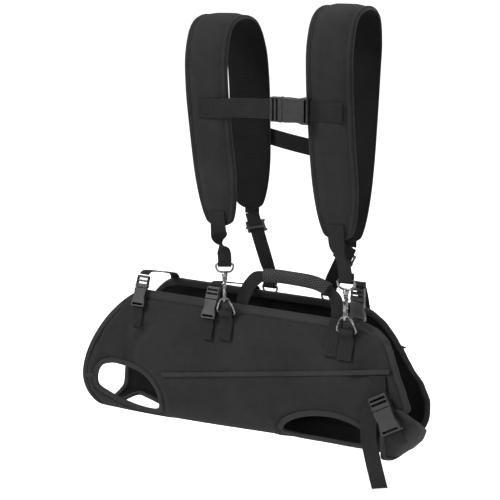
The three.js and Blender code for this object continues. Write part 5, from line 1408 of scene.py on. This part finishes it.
def build_hook(key, h):
    """One snap hook: wire eye with its swivel boss, forged hook bar and spring gate."""
    eye = np.array(h["eye"], float)
    w, low, r = 12.7, -12.0, 4.0
    pts = [(-w + r, 0, 0), (w - r, 0, 0), (w - 0.9, 0, -1.1), (w, 0, -r), (w - 2, 0, low + 2.5),
           (w - 6, 0, low), (-w + 6, 0, low), (-w + 2, 0, low + 2.5), (-w, 0, -r),
           (-w + 0.9, 0, -1.1)]
    loop_ = wire_ring(f"eye_{key}", turned(pts, h["eye_turn"], eye), 1.7, "sling")
    boss = lathe(f"boss_{key}", BOSS, eye + (0, 0, low - 1.7), "sling")
    eye_piece = join(f"hook_{key}_eye", [loop_, boss])
    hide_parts(f"hook_eye_{key}")
    swivel = eye - (0, 0, SWIVEL_DROP)
    mid = HOOK_IN + HOOK_BAR / 2
    arc = [(mid * math.cos(math.radians(a)), 0, HOOK_BOWL_Z + mid * math.sin(math.radians(a)))
           for a in (180, 200, 220, 240, 260, 280, 300, 320, 340, 356)]
    back = [(-0.2, 0, -4.6), (-4.2, 0, -5.6), (-7.6, 0, -8.6), (-mid, 0, -13.0), (-mid, 0, -20.0)]
    spine = np.array(back + arc + [(mid, 0, -25.8)])
    line = spline(spine, per=14)
    t = lengths(line) / lengths(line)[-1]
    width = np.interp(t, [0, 0.12, 0.4, 0.75, 0.95, 1.0], [5.6, 4.4, 3.9, 4.0, 3.7, 2.6])
    depth = np.interp(t, [0, 0.12, 0.4, 0.75, 0.95, 1.0], [4.6, 4.6, 4.4, 4.5, 4.3, 3.2])
    ring = round_bar(1, 1, 0.38, 20)
    section = ring[None] * np.stack([width, depth], -1)[:, None, :]
    line_w = turned(line, h["turn"], swivel)
    yaw = math.radians(h["turn"])
    normal = np.array([-math.sin(yaw), math.cos(yaw), 0.0])
    across = np.cross(tangents(line_w), normal)
    hook = tube(f"bar_{key}", line_w, across, section, STEEL, f"hook_{key}", sharp=None)
    neck = lathe(f"neck_{key}", NECK, swivel, f"hook_{key}")
    cheek_line = turned([(2.0, 0, -4.4), (5.2, 0, -5.4), (7.6, 0, -7.0), (8.4, 0, -9.0)], h["turn"],
                        swivel)
    cheek = spline(cheek_line, per=10)
    rows = len(cheek)
    sec = round_bar(1, 1, 0.4, 16)[None] * np.stack([np.linspace(4.6, 3.6, rows),
                                                     np.full(rows, 4.4)], -1)[:, None]
    lug = tube(f"lug_{key}", cheek, np.cross(tangents(cheek), normal), sec, STEEL, f"hook_{key}",
               sharp=None)
    piece = join(f"hook_{key}_bar", [hook, neck, lug])
    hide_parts(f"hook_body_{key}")
    pivot = np.array([8.6, 0, GATE_TOP])
    gate_pts = turned(pivot + np.array([(0, 0, 0.8), (0.1, 0, -3), (0.25, 0, -8), (0.3, 0, -14.2)]),
                      h["turn"], swivel)
    gate_line = spline(gate_pts, per=12)
    rows = len(gate_line)
    sec = round_bar(1, 1, 0.36, 16)[None] * np.stack(
        [np.interp(np.linspace(0, 1, rows), [0, 0.2, 0.9, 1], [3.4, 3.0, 3.1, 2.4]),
         np.full(rows, 3.4)], -1)[:, None]
    gate = tube(f"gate_{key}_lever", gate_line, np.cross(tangents(gate_line), normal), sec, STEEL,
                f"gate_{key}", sharp=None)
    pin_pts = turned(pivot + np.array([(0, -2.5, 0), (0, 2.5, 0)]), h["turn"], swivel)
    a = np.linspace(0, 2 * np.pi, 14, endpoint=False)
    pin_line = np.linspace(pin_pts[0], pin_pts[1], 5)
    ring2 = np.repeat((np.stack([np.cos(a), np.sin(a)], -1) * 1.1)[None], 5, axis=0)
    pin = tube(f"gate_{key}_pin", pin_line, np.repeat([[0, 0, 1.0]], 5, 0), ring2, STEEL, f"gate_{key}",
               sharp=35)
    gate = join(f"gate_{key}_lever", [gate, pin])
    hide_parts(f"hook_gate_{key}")


def build_ring(key, h):
    """Rounded three-cornered ring of wire, leaning a little towards the panel."""
    w, high = RING_HALF, RING_HIGH
    pts = np.array([(-w + 1.4, 0, 0), (w - 1.4, 0, 0), (w, 0, 1.6), (w - 2.6, 0, high * 0.5),
                    (6.5, 0, high - 2.2), (0, 0, high), (-6.5, 0, high - 2.2),
                    (-w + 2.6, 0, high * 0.5),
                    (-w, 0, 1.6)])
    lean = math.atan2(RING_LEAN if key.startswith("near") else -RING_LEAN, high)
    c, s = math.cos(lean), math.sin(lean)
    turn = np.stack([pts[:, 0], pts[:, 1] * c - pts[:, 2] * s, pts[:, 1] * s + pts[:, 2] * c], -1)
    ring = wire_ring(f"ring_{key}_wire", turn + np.array(h["ring"], float), 1.6, f"ring_{key}")
    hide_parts(f"ring_{key}")


# ---------- moulded buckles ----------
def finish_plastic():
    """The buckles and glides keep their shapes: their corners are rounded and shaded smooth."""
    for name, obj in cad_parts.items():
        if name.endswith(("_socket", "_plug")) or name.startswith("glide_"):
            obj.data.materials.clear()
            obj.data.materials.append(PLASTIC)
            weld = obj.modifiers.new("weld", "WELD")
            weld.merge_threshold = 0.00002
            bevel = obj.modifiers.new("round", "BEVEL")
            bevel.width = 0.00055
            bevel.segments = 2
            bevel.limit_method = "ANGLE"
            bevel.angle_limit = math.radians(28)
            bevel.harden_normals = True


# ---------- light and floor ----------
def build_studio():
    """Wide pale floor well below the sling, white surroundings, a soft key, a fill and a back light."""
    reach, drop = 60.0, 0.79
    turn = np.linspace(0, 2 * np.pi, 48, endpoint=False)
    verts = [(reach * math.cos(a), reach * math.sin(a), -drop) for a in turn]
    mesh = bpy.data.meshes.new("studio_floor")
    mesh.from_pydata(verts, [], [list(range(len(verts)))])
    floor = bpy.data.objects.new("studio_floor", mesh)
    bpy.context.scene.collection.objects.link(floor)
    finish = Finish("pale_floor", (0.93, 0.93, 0.93), 0.95, specular=0.0)
    place, *_ = finish.axes("Object", 1.0)
    finish.roughen(finish.span(finish.noise(place, 0.4), 0.3, 0.7, 0.85, 0.95))
    mesh.materials.append(finish.material)
    bpy.context.scene.view_settings.view_transform = "Standard"
    world = bpy.data.worlds.new("studio")
    bpy.context.scene.world = world
    world.use_nodes = True
    tree = world.node_tree
    seen = tree.nodes["Background"]
    seen.inputs[1].default_value = 1.0
    seen.inputs[0].default_value = (1, 1, 1, 1)
    glow = tree.nodes.new("ShaderNodeBackground")
    glow.inputs[0].default_value = (1, 1, 1, 1)
    glow.inputs[1].default_value = 0.42
    rays = tree.nodes.new("ShaderNodeLightPath")
    both = tree.nodes.new("ShaderNodeMixShader")
    tree.links.new(rays.outputs["Is Camera Ray"], both.inputs[0])
    tree.links.new(glow.outputs[0], both.inputs[1])
    tree.links.new(seen.outputs[0], both.inputs[2])
    tree.links.new(both.outputs[0], tree.nodes["World Output"].inputs[0])
    sun_data = bpy.data.lights.new("window", "SUN")
    sun_data.energy = 3.4
    sun_data.angle = math.radians(22)
    sun = bpy.data.objects.new("window", sun_data)
    bpy.context.scene.collection.objects.link(sun)
    sun.rotation_euler = Vector((0.75, 0.85, -1.25)).to_track_quat("-Z", "Y").to_euler()
    for name, place, size, power in (
            ("key", (-1.3, -1.7, 1.3), 1.0, 40), ("fill", (2.2, -1.4, 0.6), 1.8, 26),
            ("top", (0.1, 0.3, 1.9), 1.2, 40), ("rim", (0.9, 2.0, 0.9), 1.6, 26)):
        data = bpy.data.lights.new(name, "AREA")
        data.energy = power
        data.size = size
        light = bpy.data.objects.new(name, data)
        bpy.context.scene.collection.objects.link(light)
        light.location = place
        aim_at = Vector((0, 0, -0.35)) - Vector(place)
        light.rotation_euler = aim_at.to_track_quat("-Z", "Y").to_euler()


# ---------- the object ----------
build_studio()
build_panels()
build_bindings()
build_flap()
build_seams()
build_pads()
strap_lines = build_straps()
build_sewing(strap_lines)
build_grip(strap_lines)
for key, h in HOOKS.items():
    build_hook(key, h)
    build_ring(key, h)
finish_plastic()
